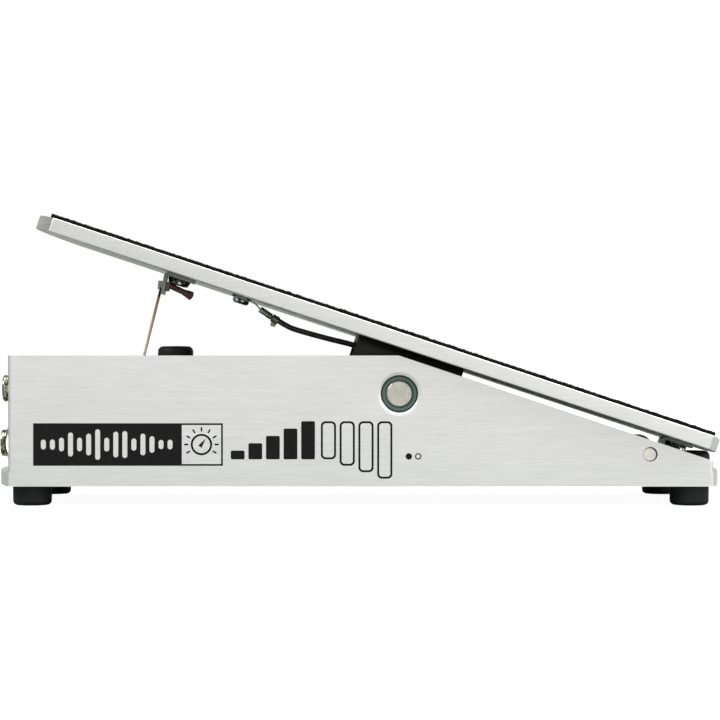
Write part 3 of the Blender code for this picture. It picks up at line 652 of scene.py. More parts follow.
def weave_small_looks():
    """The small soft finishes get their own fine unevenness."""
    for look, scale, pale, depth in (
        (KNOT, 1800, (0.62, 0.59, 0.50), 0.06),
        (TAIL, 1100, (0.15, 0.055, 0.040), 0.05),
        (CLAMP, 1500, (0.32, 0.27, 0.22), 0.03),
        (INK, 2600, (0.018, 0.018, 0.018), 0.004),
    ):
        grain = look.noise(scale, 3.0, 0.6)
        base = tuple(look.shader.inputs["Base Color"].default_value[:3])
        look.feed(Base_Color=look.mix(look.step(grain, 0.4, 0.75), base, pale), Roughness=grain * 0.25 + 0.3)
        look.bump(grain, depth * MM, 0.6)


weave_small_looks()


# ------------------------------------------------------------ repeated pieces

def copies_growth(look):
    """A tree that sets one piece at every point of a mesh."""
    tree = Growth("copies_" + look.material.name, Piece=bpy.types.Object)
    piece = tree.node("GeometryNodeObjectInfo", None, {"Object": tree.size["Piece"]}).outputs["Geometry"]
    inputs = {"Points": tree.size["Geometry"], "Instance": piece}
    return tree.end(tree.node("GeometryNodeInstanceOnPoints", None, inputs).outputs[0], look)


def copies(name, piece, places, look):
    """One mesh with the piece at every place. The piece is used up."""
    points = bpy.data.meshes.new("places")
    points.from_pydata([tuple(p) for p in places], [], [])
    made = copies_growth(look).grow(name, points, Piece=piece)
    bpy.data.objects.remove(piece, do_unlink=True)
    return smooth(made)


def coil_growth(look):
    """A tree that winds a round wire into a helix."""
    sizes = {"Turns": float, "Radius": float, "Height": float, "Wire": float, "Steps": int}
    tree = Growth("coil_" + look.material.name, **sizes)
    size = tree.size
    inputs = {
        "Resolution": size["Steps"],
        "Rotations": size["Turns"],
        "Start Radius": size["Radius"],
        "End Radius": size["Radius"],
        "Height": size["Height"],
    }
    line = tree.node("GeometryNodeCurveSpiral", None, inputs).outputs[0]
    wire = tree.node("GeometryNodeCurvePrimitiveCircle", None, {"Resolution": 10, "Radius": size["Wire"]})
    inputs = {"Curve": line, "Profile Curve": wire.outputs[0], "Fill Caps": True}
    return tree.end(tree.node("GeometryNodeCurveToMesh", None, inputs).outputs[0], look)


def coil(name, look, turns, radius, height, wire, steps):
    seed = bpy.data.meshes.new("seed")
    sizes = {"Turns": turns, "Radius": radius, "Height": height, "Wire": wire, "Steps": steps}
    return smooth(coil_growth(look).grow(name, seed, **sizes), 60)


def tooth_growth(look):
    """A tree that sets twisted teeth round a washer's rim."""
    sizes = {"Count": int, "Radius": float, "Length": float, "Width": float, "Sheet": float}
    tree = Growth("teeth_" + look.material.name, **sizes)
    size = tree.size
    inputs = {"Resolution": size["Count"], "Radius": size["Radius"]}
    ring = tree.node("GeometryNodeCurvePrimitiveCircle", None, inputs)
    inputs = {0: size["Length"], 1: size["Width"], 2: size["Sheet"]}
    tooth_size = tree.node("ShaderNodeCombineXYZ", None, inputs)
    tooth = tree.node("GeometryNodeMeshCube", None, {"Size": tooth_size.outputs[0]}).outputs[0]
    inputs = {"Geometry": tooth, "Rotation": (math.radians(24), 0, 0)}
    twist = tree.node("GeometryNodeTransform", None, inputs)
    place = tree.node("GeometryNodeInputPosition").outputs[0]
    face = tree.node("FunctionNodeAlignRotationToVector", {"axis": "X"}, {"Vector": place}).outputs[0]
    inputs = {"Points": ring.outputs[0], "Instance": twist.outputs[0], "Rotation": face}
    teeth = tree.node("GeometryNodeInstanceOnPoints", None, inputs).outputs[0]
    whole = tree.node("GeometryNodeJoinGeometry", None, {0: teeth})
    tree.tree.links.new(size["Geometry"], whole.inputs[0])
    return tree.end(whole.outputs[0], look)


def toothed_washer(name, look, bore, rim, sheet):
    """A lock washer with outer teeth, its middle plane at zero height."""
    half = sheet / 2
    root = rim - 1.3 * MM
    disc = turned(name, [(bore, half), (root, half), (root, -half), (bore, -half)], 48, closed=True)
    mesh = disc.data
    bpy.data.objects.remove(disc, do_unlink=True)
    sizes = {"Count": 12, "Radius": rim - 0.8 * MM, "Length": 1.5 * MM, "Width": 1.15 * MM, "Sheet": sheet}
    return smooth(tooth_growth(look).grow(name, mesh, **sizes))


def cross_cutter(reach, depth, top):
    """A tool with the tapered cross of a screwdriver, pointing down from its top."""
    arms = []
    for turn in (0.0, math.pi / 2):
        outline = [(-reach, 0.3 * MM), (reach, 0.3 * MM), (reach * 0.55, -depth), (-reach * 0.55, -depth)]
        arm = slab("cross", outline, -0.32 * MM, 0.32 * MM, "Y")
        arms.append(put(arm, Matrix.Translation((0, 0, top)) @ Matrix.Rotation(turn, 4, "Z")))
    return combine(arms[0], arms[1], "UNION")


def pan_screw(head, height, shank, length):
    """A pan-head cross screw, seat at zero height and head downward."""
    dome = [(0, height)]
    for i in range(1, 9):
        angle = math.pi / 2 * i / 8
        dome.append((head * (0.55 + 0.45 * math.sin(angle)), height * (0.42 + 0.58 * math.cos(angle))))
    edge = 0.08 * MM
    profile = dome + [(head, edge), (head - edge, 0), (shank, 0), *thread(shank, 0, -length), (0, -length)]
    screw = turned("pan_screw", profile, 64)
    combine(screw, cross_cutter(head * 0.55, height * 0.75, height))
    return put(smooth(screw), FLIPPED)


def thread(radius, start, end, pitch=0.6 * MM, depth=0.18 * MM):
    """Profile points of a thread from start to end, cut as close rings."""
    count = max(1, int(abs(end - start) / pitch))
    step = (end - start) / count
    points = []
    for i in range(count):
        points.append((radius, start + step * (i + 0.1)))
        points.append((radius - depth, start + step * (i + 0.5)))
        points.append((radius, start + step * (i + 0.9)))
    return points


# ------------------------------------------------------------ housing

CHANNEL_LOW, CHANNEL_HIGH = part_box("housing_channel")
BASE_BOTTOM = CHANNEL_LOW.z
BASE_TOP = BASE_BOTTOM + 4.76 * MM
WALL_TOP = CHANNEL_HIGH.z
HALF_WIDTH = CHANNEL_HIGH.y
INNER_HALF = HALF_WIDTH - 3.0 * MM
BASE_END = CHANNEL_HIGH.x
WALL_END = 120.4 * MM
ROD_RADIUS = (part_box("heel_cross_rod")[1].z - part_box("heel_cross_rod")[0].z) / 2
ROD_SLACK = Vector((0.14, 0.0, 0.03)) * MM  # the rod lies against the toe side of its holes
SHAFT_RADIUS = 4.7625 * MM
BUSHING_RADIUS = 6.35 * MM


def make_channel():
    """Base and walls in one, with bowed ends below, slopes at the heel and holes for hinge and rod."""
    embed = 1.5 * MM
    corner = 1.4 * MM
    rise = BASE_END - WALL_END
    plan = bowed_outline(-WALL_END, WALL_END, HALF_WIDTH, rise, rise)
    corners = (0, len(plan) // 2 - 1, len(plan) // 2, len(plan) - 1)
    plan = rounded(plan, [corner if i in corners else 0 for i in range(len(plan))], 8)
    channel = slab("housing_channel_body", plan, BASE_BOTTOM, BASE_TOP)
    side = [
        (-WALL_END, BASE_TOP - embed),
        (WALL_END, BASE_TOP - embed),
        (WALL_END, 15.38 * MM),
        (13.0 * MM, WALL_TOP),
        (-WALL_END, WALL_TOP),
    ]
    ends = rounded(box_outline(-WALL_END, WALL_END, -HALF_WIDTH, HALF_WIDTH), corner, 8)
    for y in (-1, 1):
        low, high = sorted((y * INNER_HALF, y * (HALF_WIDTH + embed)))
        wall = slab("wall", side, low, high, "Y")
        combine(wall, slab("ends", ends, 0, WALL_TOP + embed), "INTERSECT")
        combine(channel, wall, "UNION")
    out = HALF_WIDTH + 1.0 * MM
    hole = BUSHING_RADIUS + 0.03 * MM
    dish = hole + 1.35 * MM
    lip = 0.34 * MM
    pivot_cut = [
        (0, out), (dish, out), (dish, HALF_WIDTH), (hole + 0.1 * MM, HALF_WIDTH - lip),
        (hole, HALF_WIDTH - lip - 0.1 * MM), (hole, lip + 0.1 * MM - HALF_WIDTH),
        (hole + 0.1 * MM, lip - HALF_WIDTH), (dish, -HALF_WIDTH), (dish, -out), (0, -out),
    ]
    at_pivot = Matrix.Translation(PIVOT) @ TO_NEAR
    combine(channel, turned("pivot_cut", pivot_cut, 96, at_pivot))
    at_rod = Matrix.Translation(ROD_AXIS + ROD_SLACK) @ TO_NEAR
    combine(channel, rod("rod_cut", ROD_RADIUS + 0.12 * MM, -out, out, at_rod))
    for spot in base_screw_spots():
        cone = [(0, -1 * MM), (4.4 * MM, -1 * MM), (1.8 * MM, 1.7 * MM), (1.8 * MM, 6 * MM), (0, 6 * MM)]
        combine(channel, turned("screw_cut", cone, 48, Matrix.Translation(spot)))
    bevel(tidy(channel), 0.28 * MM, 3)
    return show(channel, "housing", HOUSING_METAL, "housing_aluminium", "housing_channel")


BASE_SCREWS = ("panel_screw_near", "panel_screw_far", "pot_screw_toe", "pot_screw_heel")


def base_screw_spots():
    spots = []
    for name in BASE_SCREWS:
        low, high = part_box(name)
        spots.append(Vector(((low.x + high.x) / 2, (low.y + high.y) / 2, BASE_BOTTOM)))
    return spots


def make_base_screws():
    """Countersunk cross screws that come up through the base."""
    profile = [
        (0, 8.6 * MM), (1.2 * MM, 8.6 * MM), *thread(1.5 * MM, 8.3 * MM, 2.0 * MM),
        (1.5 * MM, 1.9 * MM), (3.15 * MM, 0.25 * MM), (3.15 * MM, 0.12 * MM), (0, 0.06 * MM),
    ]
    screw = turned("base_screw", profile, 48)
    cut = put(cross_cutter(1.7 * MM, 1.5 * MM, 0), FLIPPED)
    combine(screw, cut)
    made = copies("base_screws", smooth(screw), base_screw_spots(), SCREW_STEEL)
    show(made, "housing", SCREW_STEEL, "steel", *BASE_SCREWS)


def make_feet():
    """Four round rubber feet with a moulded step and a soft lower edge."""
    low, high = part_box("foot_heel_far")
    radius = (high.x - low.x) / 2
    height = BASE_BOTTOM
    outline = [
        (0, height), (radius - 0.25 * MM, height),
        (radius, height - 0.3 * MM), (radius - 0.15 * MM, 0), (0, 0),
    ]
    outline = rounded(outline, [0, 0.1 * MM, 0.1 * MM, 1.5 * MM, 0], 8, closed=False)
    foot = turned("foot", outline, 96)
    spots = []
    nodes = [f"foot_{end}_{side}" for end in ("toe", "heel") for side in ("near", "far")]
    for name in nodes:
        low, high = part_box(name)
        spots.append(((low.x + high.x) / 2, (low.y + high.y) / 2, 0))
    made = copies("rubber_feet", foot, spots, RUBBER)
    show(made, "housing", RUBBER, "rubber", *nodes)


def make_bumpers():
    """The rubber stops that the board meets at each end of its travel."""
    for name, seat in (("toe_bumper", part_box("pot_bracket")[1].z), ("heel_bumper", BASE_TOP)):
        low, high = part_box(name)
        radius = (high.x - low.x) / 2
        top = high.z
        crown = 0.18 * MM
        outline = [
            (0, top), (radius * 0.6, top - crown * 0.4), (radius - 0.1 * MM, top - crown),
            (radius, seat), (0, seat),
        ]
        outline = rounded(outline, [0, 0, 1.9 * MM, 0, 0], 10, closed=False)
        middle = Matrix.Translation(((low.x + high.x) / 2, (low.y + high.y) / 2, 0))
        made = turned(name + "_moulding", outline, 96, middle)
        show(made, "housing", RUBBER, "rubber", name)


def make_bushings():
    """Grey-green bearings in the walls, with a flange inside and a slightly rounded face."""
    bore = SHAFT_RADIUS + 0.03 * MM
    inner = INNER_HALF - 1.8 * MM
    outer = HALF_WIDTH - 0.45 * MM
    face = BUSHING_RADIUS - 0.42 * MM
    outline = [
        (bore, outer - 0.15 * MM), (bore + 0.12 * MM, outer), (face - 0.12 * MM, outer),
        (face, outer - 0.15 * MM), (face, outer - 2.0 * MM), (BUSHING_RADIUS, outer - 2.1 * MM),
        (BUSHING_RADIUS, INNER_HALF - 0.02 * MM), (7.8 * MM, INNER_HALF - 0.02 * MM),
        (8 * MM, INNER_HALF - 0.2 * MM), (8 * MM, inner + 0.2 * MM), (7.8 * MM, inner), (bore, inner),
    ]
    for side, turn in (("near", TO_NEAR), ("far", TO_FAR)):
        made = turned("bearing_" + side, outline, 96, Matrix.Translation(PIVOT) @ turn, closed=True)
        show(made, "housing", BEARING, "bushing", "pivot_bushing_" + side)


def make_heel_rod():
    """The rod across the heel, with chamfered ends in the walls and a collar at each side of the roller."""
    half = HALF_WIDTH - 0.1 * MM
    edge = 0.2 * MM
    end = ROD_RADIUS - 0.13 * MM
    collar = 3.6 * MM
    slope = 0.1 * MM
    outline = [
        (0, half), (end - edge, half), (end, half - edge),
        (end, half - 2.5 * MM), (ROD_RADIUS, half - 2.6 * MM),
    ]
    for high, low in ((19.2 * MM, 18.2 * MM), (9.8 * MM, 8.8 * MM)):
        outline += [(ROD_RADIUS, high), (collar, high - slope), (collar, low + slope), (ROD_RADIUS, low)]
    outline += [
        (ROD_RADIUS, 2.6 * MM - half), (end, 2.5 * MM - half),
        (end, edge - half), (end - edge, -half), (0, -half),
    ]
    at = Matrix.Translation(ROD_AXIS - ROD_SLACK * 0.6) @ TO_NEAR
    made = turned("heel_rod_and_collars", outline, 64, at)
    show(made, "housing", ROD_STEEL, "steel", "heel_cross_rod")


# ------------------------------------------------------------ toe panel and jacks

JACK_NAMES = ("input", "output", "tuner")
JACK_THREAD = 4.7 * MM
NUT_RIM = 6.6 * MM


def jack_axis(name):
    low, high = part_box("jack_" + name)
    return Vector((-WALL_END, (low.y + high.y) / 2, (low.z + high.z) / 2))


def make_toe_panel():
    """The bent plate at the toe end, with a rounded bend, jack holes and its foot inside."""
    low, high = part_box("toe_panel")
    sheet = 2.5 * MM
    side = INNER_HALF - 0.15 * MM
    base = BASE_TOP + 0.03 * MM
    outline = [
        (low.x, base), (high.x, base), (high.x, base + 2.3 * MM),
        (low.x + sheet, base + 2.3 * MM), (low.x + sheet, high.z), (low.x, high.z),
    ]
    outline = rounded(outline, [2.2 * MM, 0.3 * MM, 0.3 * MM, 0.8 * MM, 0.3 * MM, 0.3 * MM], 6)
    panel = slab("toe_panel_plate", outline, -side, side, "Y")
    for name in JACK_NAMES:
        at = Matrix.Translation(jack_axis(name)) @ TO_TOE
        combine(panel, rod("jack_hole", JACK_THREAD + 0.1 * MM, -2 * sheet, 2 * sheet, at))
    bevel(tidy(panel), 0.2 * MM, 2)
    show(panel, "housing", HOUSING_METAL, "housing_aluminium", "toe_panel")


def make_jacks():
    """Threaded barrels with a rounded mouth, hex nuts, washers, and black bodies with lugs inside."""
    tip = 4.6 * MM
    bore = 3.2 * MM
    back = -2.5 * MM
    depth = 24 * MM
    mouth = [
        (0, -depth + 2.6 * MM), (bore, -depth + 2.6 * MM), (bore, tip - 0.6 * MM),
        (bore + 0.25 * MM, tip - 0.15 * MM), (bore + 0.6 * MM, tip),
        (JACK_THREAD - 0.7 * MM, tip), (JACK_THREAD - 0.2 * MM, tip - 0.25 * MM),
        (JACK_THREAD, tip - 0.7 * MM), *thread(JACK_THREAD, tip - 1.0 * MM, back, 0.7 * MM, 0.22 * MM),
        (JACK_THREAD, back - 0.02 * MM), (JACK_THREAD, -depth + 1.2 * MM), (0, -depth + 1.2 * MM),
    ]
    axes = [jack_axis(name) for name in JACK_NAMES]
    barrels = copies("jack_barrels", turned("barrel", mouth, 64, TO_TOE), axes, MOUTH_NICKEL)
    show(barrels, "housing", MOUTH_NICKEL, "nickel", *("jack_" + n for n in JACK_NAMES))
    side = 6.4 * MM
    block = rounded(box_outline(-side, side, -side, side), 1.2 * MM, 5)
    body = slab("body", block, -depth, back - 0.3 * MM)
    combine(body, rod("hollow", JACK_THREAD + 0.05 * MM, -depth + 1.1 * MM, depth, steps=48))
    for across in (-4.2, 0.0, 4.2):
        blade = box_outline(across * MM - 1.0 * MM, across * MM + 1.0 * MM, 3.6 * MM, 4.2 * MM)
        combine(body, slab("lug", blade, -depth - 2.6 * MM, -depth + 0.5 * MM), "UNION")
    body = put(bevel(body, 0.2 * MM, 2), TO_TOE)
    show(copies("jack_bodies", body, axes, BLACK_PLASTIC), "housing", BLACK_PLASTIC, "black_plastic")
    hole = JACK_THREAD + 0.1 * MM
    washer = [
        (hole, 0.65 * MM), (NUT_RIM - 0.15 * MM, 0.65 * MM), (NUT_RIM, 0.5 * MM),
        (NUT_RIM, 0.02 * MM), (hole, 0.02 * MM),
    ]
    rings = copies("jack_washers", turned("washer", washer, 64, TO_TOE, closed=True), axes, NICKEL)
    show(rings, "housing", NICKEL, "nickel", *("jack_washer_" + n for n in JACK_NAMES))
    nuts = copies("jack_nuts", put(hex_nut(NUT_RIM, 0.68 * MM, 2.3 * MM, JACK_THREAD), TO_TOE), axes, NICKEL)
    show(nuts, "housing", NICKEL, "nickel", *("jack_nut_" + n for n in JACK_NAMES))


def hex_nut(rim, low, high, bore):
    """A hexagonal nut with a point upward, whose corners are turned down to a rounded top."""
    nut = slab("nut", circle(0, 0, rim, 6), low, high)
    edge = 0.45 * MM
    outside = rim + 0.03 * MM
    inside = bore + 0.02 * MM
    dome = [(0, high), (rim * 0.87, high), (outside, high - edge * 1.6), (outside, low), (0, low)]
    combine(nut, turned("dome", dome, 96), "INTERSECT")
    hole = [
        (0, high + edge), (bore + 2 * edge, high + edge),
        (inside, high - edge), (inside, low - edge), (0, low - edge),
    ]
    combine(nut, turned("hole", hole, 64))
    return bevel(nut, 0.08 * MM, 2, 20)


# ------------------------------------------------------------ potentiometer and drum

DRUM_LOW, DRUM_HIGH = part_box("cord_drum")
DRUM_AXIS = Vector(((DRUM_LOW.x + DRUM_HIGH.x) / 2, 0.0, (DRUM_LOW.z + DRUM_HIGH.z) / 2))
CORD_Y = -14.0 * MM
CORD_RADIUS = 0.5 * MM
CORD_TURN = 5.2 * MM


def make_pot_bracket():
    """The folded sheet that carries the potentiometer and the toe bumper."""
    low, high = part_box("pot_bracket")
    near = low.y + 0.75 * MM
    sheet = 1.5 * MM
    foot, shelf = BASE_TOP + sheet / 2, high.z - sheet / 2
    line = [(high.y, foot), (near, foot), (near, shelf), (8 * MM, shelf)]
    outline = thick_line(rounded(line, 2.0 * MM, 8, closed=False), sheet)
    bracket = slab("pot_bracket_sheet", outline, low.x, high.x, "X")
    at = Matrix.Translation(DRUM_AXIS) @ TO_NEAR
    combine(bracket, rod("hole", 3.8 * MM, 0, 20 * MM, at))
    past = high.y + MM
    for x, turn in ((low.x, 1), (high.x, -1)):
        chamfer = [(x - turn * MM, past), (x + turn * 3 * MM, past), (x - turn * MM, high.y - 3 * MM)]
        combine(bracket, slab("corner", chamfer, 0, 30 * MM))
    show(bevel(tidy(bracket), 0.15 * MM, 2), "housing", ZINC, "zinc", "pot_bracket")


def make_potentiometer():
    """A pressed can with a dimple, its front plate and tabs, a lug board, and a threaded neck."""
    at = Matrix.Translation(DRUM_AXIS) @ TO_NEAR
    can = 11.4 * MM
    front = 6.95 * MM
    rear = -5.2 * MM
    dimple = rear + 0.5 * MM
    outline = [(0, front), (can, front), (can, rear), (7 * MM, rear), (6.4 * MM, dimple), (0, dimple)]
    outline = rounded(outline, [0, 0.3 * MM, 1.2 * MM, 0.3 * MM, 0.3 * MM, 0], 6, closed=False)
    body = turned("can", outline, 96)
    neck = [
        (0, 4.0 * MM), (3.1 * MM, 4.0 * MM), (3.1 * MM, 10.9 * MM), (3.4 * MM, 10.9 * MM),
        *thread(3.7 * MM, 10.7 * MM, front, 0.6 * MM), (3.7 * MM, front - 0.3 * MM), (0, front - 0.3 * MM),
    ]
    pieces = [body, turned("neck", neck, 64)]
    for turn in range(4):
        blade = box_outline(-1.3 * MM, 1.3 * MM, -0.35 * MM, 0.35 * MM)
        tab = slab("tab", blade, rear + 3 * MM, front - 0.4 * MM)
        spin = Matrix.Rotation(math.radians(45 + 90 * turn), 4, "Z")
        pieces.append(put(bevel(tab, 0.12 * MM), spin @ Matrix.Translation((0, can + 0.05 * MM, 0))))
    whole = put(join("potentiometer_can", *pieces), at)
    show(whole, "housing", NICKEL, "nickel", "potentiometer")
    edge_of_can = Matrix.Translation((0, can - 0.8 * MM, 0))
    outline = rounded(box_outline(-7.5 * MM, 7.5 * MM, 0, 6.2 * MM), 0.8 * MM, 4)
    board = put(bevel(slab("lug_board", outline, 3.4 * MM, 4.8 * MM), 0.1 * MM), edge_of_can)
    show(put(board, at), "housing", BOARD_FIBRE, "black_plastic")
    lugs = []
    for across in (-5.0, 0.0, 5.0):
        outline = box_outline(across * MM - 1.1 * MM, across * MM + 1.1 * MM, 2 * MM, 9.5 * MM)
        lug = slab("lug", rounded(outline, 0.9 * MM, 4), 4.82 * MM, 5.3 * MM)
        combine(lug, rod("eye", 0.55 * MM, 0, 9 * MM, Matrix.Translation((across * MM, 8.3 * MM, 0)), 24))
        lugs.append(put(lug, edge_of_can))
    show(put(join("pot_lugs", *lugs), at), "housing", TIN, "nickel")
    nut = put(hex_nut(6.35 * MM, 8.55 * MM, 10.6 * MM, 3.7 * MM), at)
    show(nut, "housing", NICKEL, "nickel", "pot_nut")


def make_drum():
    """The black drum with its winding and the pot's shaft. The shaft has a flat with a screwdriver slot."""
    at = Matrix.Translation(DRUM_AXIS) @ TO_NEAR
    core = CORD_TURN - CORD_RADIUS
    rim = 6.9 * MM
    low, high = 11.2 * MM, 17.8 * MM
    bore = 3.1 * MM
    boss = 4.4 * MM
    lip = 0.25 * MM
    outline = [
        (bore, high + 0.4 * MM), (boss, high + 0.4 * MM), (boss, high), (rim, high), (rim, high - 1.0 * MM),
        (core, high - 1.4 * MM), (core, low + 1.4 * MM), (rim, low + 1.0 * MM), (rim, low), (bore, low),
    ]
    outline = rounded(outline, [0, 0.2 * MM, 0.1 * MM, lip, lip, 0.3 * MM, 0.3 * MM, lip, lip, 0], 4)
    drum = turned("drum_body", outline, 96, closed=True)
    hole = rod("pin", 0.7 * MM, -1 * MM, 20 * MM, Matrix.Translation((5.6 * MM, 0, 0)), 24)
    combine(drum, hole)
    show(put(smooth(drum), at), "drum", BLACK_PLASTIC, "black_plastic", "cord_drum")
    turns = coil("winding", CORD, 2.5, CORD_TURN, 2.5 * 1.05 * MM, CORD_RADIUS, 40)
    put(turns, at @ Matrix.Translation((0, 0, -CORD_Y - 1.3 * MM)))
    show(turns, "drum", CORD, "cord", "cord_winding")
    stem = [(0, 18.4 * MM), (2.7 * MM, 18.4 * MM), (3.0 * MM, 18.1 * MM), (3.0 * MM, 4.3 * MM), (0, 4.3 * MM)]
    shaft = turned("stem", stem, 64)
    combine(shaft, slab("slot", box_outline(-5 * MM, 5 * MM, -0.5 * MM, 0.5 * MM), 17.2 * MM, 20 * MM))
    show(put(smooth(shaft), at), "drum", SCREW_STEEL, "steel", "pot_shaft")


def make_roller():
    """The black roller at the heel, with a rounded groove for the cord."""
    groove = CORD_TURN - CORD_RADIUS
    bore = ROD_RADIUS + 0.08 * MM
    outline = [
        (bore, 18.0 * MM), (4.9 * MM, 18.0 * MM), (5.1 * MM, 17.8 * MM), (5.1 * MM, 16.9 * MM),
        (5.0 * MM, 15.9 * MM), (groove + 0.15 * MM, 15.2 * MM), (groove, 14.7 * MM), (groove, 13.3 * MM),
        (groove + 0.15 * MM, 12.8 * MM), (5.3 * MM, 12.1 * MM), (5.9 * MM, 11.1 * MM), (5.9 * MM, 10.2 * MM),
        (5.7 * MM, 10.0 * MM), (bore, 10.0 * MM),
    ]
    made = turned("roller_body", outline, 96, Matrix.Translation(ROD_AXIS) @ TO_NEAR, closed=True)
    show(made, "roller", BLACK_PLASTIC, "black_plastic", "cord_roller")


# ------------------------------------------------------------ treadle

BOARD_LOW, BOARD_HIGH = treadle_box("footboard")
PAD_LOW, PAD_HIGH = treadle_box("grip_pad")


def make_footboard():
    """The aluminium plate with bowed ends, its edges just broken."""
    rises = (PAD_LOW.x - BOARD_LOW.x, BOARD_HIGH.x - PAD_HIGH.x)
    plan = bowed_outline(PAD_LOW.x, PAD_HIGH.x, BOARD_HIGH.y, *rises, 64)
    board = slab("footboard_plate", plan, BOARD_LOW.z, BOARD_HIGH.z)
    bevel(board, 0.32 * MM, 3, 15)
    show(put(board, TREADLE), "treadle", BOARD_METAL, "board_aluminium", "footboard")


def make_grip():
    """Coarse grit on the straight part of the board: a rough sheet with loose grains set in it."""
    pitch = 1.05 * MM
    columns = round((PAD_HIGH.x - PAD_LOW.x) / pitch)
    rows = round((PAD_HIGH.y - PAD_LOW.y) / pitch)
    low_x, high_x = PAD_LOW.x - 0.85 * MM, PAD_HIGH.x + 0.3 * MM
    base = BOARD_HIGH.z + 0.01 * MM
    top = PAD_HIGH.z - 0.14 * MM
    shell = bmesh.new()
    bmesh.ops.create_grid(shell, x_segments=columns, y_segments=rows, size=1.0)
    half_x = (high_x - low_x) / 2
    half_y = (PAD_HIGH.y - PAD_LOW.y) / 2 - 0.33 * MM
    centre = (high_x + low_x) / 2
    for vert in shell.verts:
        edge = abs(vert.co.x) > 0.999 or abs(vert.co.y) > 0.999
        x = centre + vert.co.x * half_x
        y = vert.co.y * half_y
        rough = noise.noise(Vector((x, y, 0.0)) * 620) + 0.6 * noise.noise(Vector((x, y, 9.0)) * 1500)
        x += 0.10 * MM * noise.noise(Vector((x, y, 20.0)) * 900)
        y += 0.08 * MM * noise.noise(Vector((x, y, 40.0)) * 700)
        vert.co = (x, y, top + (0.34 if edge else 0.16) * MM * rough)
    rim = [edge for edge in shell.edges if edge.is_boundary]
    border = [vert for vert in shell.verts if vert.is_boundary]
    foot = {vert: shell.verts.new((vert.co.x, vert.co.y, base)) for vert in border}
    for edge in rim:
        a, b = edge.verts
        shell.faces.new((a, b, foot[b], foot[a]))
    shell.faces.new(sorted(foot.values(), key=lambda vert: math.atan2(vert.co.y, vert.co.x - centre)))
    sheet = from_bmesh("grip_sheet", shell)
    grown = grit_growth().grow("grip_grit_sheet", sheet.data, Density=0.32 / MM**2, Grain=0.30 * MM)
    bpy.data.objects.remove(sheet, do_unlink=True)
    for face in grown.data.polygons:
        face.use_smooth = False
    show(put(grown, TREADLE), "treadle", GRIT, "grip", "grip_pad")


def grit_growth():
    """A tree that sets angular grains on the upward faces of a sheet."""
    tree = Growth("grit_grains", Density=float, Grain=float)
    size = tree.size
    normal = tree.node("ShaderNodeSeparateXYZ", None, {0: tree.node("GeometryNodeInputNormal").outputs[0]})
    upward = tree.node("FunctionNodeCompare", {"operation": "GREATER_THAN"}, {0: normal.outputs[2], 1: -0.2})
    inputs = {"Mesh": size["Geometry"], "Selection": upward.outputs[0], "Density": size["Density"], "Seed": 7}
    settings = {"distribute_method": "RANDOM"}
    points = tree.node("GeometryNodeDistributePointsOnFaces", settings, inputs).outputs[0]
    inputs = {"Radius": size["Grain"], "Subdivisions": 1}
    grain = tree.node("GeometryNodeMeshIcoSphere", None, inputs).outputs[0]
    vectors = {"data_type": "FLOAT_VECTOR"}
    spin = tree.node("FunctionNodeRandomValue", vectors, {1: (6.3, 6.3, 6.3), "Seed": 3})
    inputs = {0: (0.5, 0.5, 0.35), 1: (1.1, 1.1, 0.8), "Seed": 5}
    scale = tree.node("FunctionNodeRandomValue", vectors, inputs)
    inputs = {"Points": points, "Instance": grain, "Rotation": spin.outputs[0], "Scale": scale.outputs[0]}
    grains = tree.node("GeometryNodeInstanceOnPoints", None, inputs).outputs[0]
    whole = tree.node("GeometryNodeJoinGeometry", None, {0: grains})
    tree.tree.links.new(size["Geometry"], whole.inputs[0])
    return tree.end(whole.outputs[0], GRIT)


def make_pivot_bracket():
    """The black U under the board, with rounded bends and holes for the shaft."""
    low, high = treadle_box("pivot_bracket")
    sheet = 2.3 * MM
    top = BOARD_LOW.z - 0.02 * MM - sheet / 2
    side = high.y - sheet / 2
    line = [(-side, low.z), (-side, top), (side, top), (side, low.z)]
    outline = thick_line(rounded(line, 2.2 * MM, 8, closed=False), sheet)
    bracket = slab("pivot_bracket_channel", outline, low.x, high.x, "X")
    combine(bracket, rod("hole", SHAFT_RADIUS + 0.05 * MM, -40 * MM, 40 * MM, TO_NEAR, 64))
    bevel(tidy(bracket), 0.3 * MM, 3)
    show(put(bracket, TREADLE), "treadle", BLACK_PAINT, "black_bracket", "pivot_bracket")


def make_shaft():
    """The hinge shaft with turned ends, and a spacer at each side."""
    half = HALF_WIDTH - 0.3 * MM
    edge = 0.15 * MM
    end = SHAFT_RADIUS - 0.55 * MM
    neck = half - 2.4 * MM
    outline = [
        (0, half), (end - edge, half), (end, half - edge), (end, neck), (SHAFT_RADIUS, neck - 0.1 * MM),
        (SHAFT_RADIUS, 0.1 * MM - neck), (end, -neck), (end, edge - half), (end - edge, -half), (0, -half),
    ]
    show(turned("shaft_bar", outline, 96, TREADLE @ TO_NEAR), "treadle", SHAFT_STEEL, "steel", "pivot_shaft")
    bore = SHAFT_RADIUS + 0.05 * MM
    low, high = 29.05 * MM, INNER_HALF - 1.9 * MM
    rim = 7 * MM
    edge = 0.2 * MM
    ring = [
        (bore, high), (rim - edge, high), (rim, high - edge),
        (rim, low + edge), (rim - edge, low), (bore, low),
    ]
    for side, turn in (("near", TO_NEAR), ("far", TO_FAR)):
        made = turned("spacer_ring_" + side, ring, 64, TREADLE @ turn, closed=True)
        show(made, "treadle", SCREW_STEEL, "steel", "shaft_spacer_" + side)


TONGUE_LEAN = {"toe": 9.0, "heel": 0.0}  # degrees past square to the board


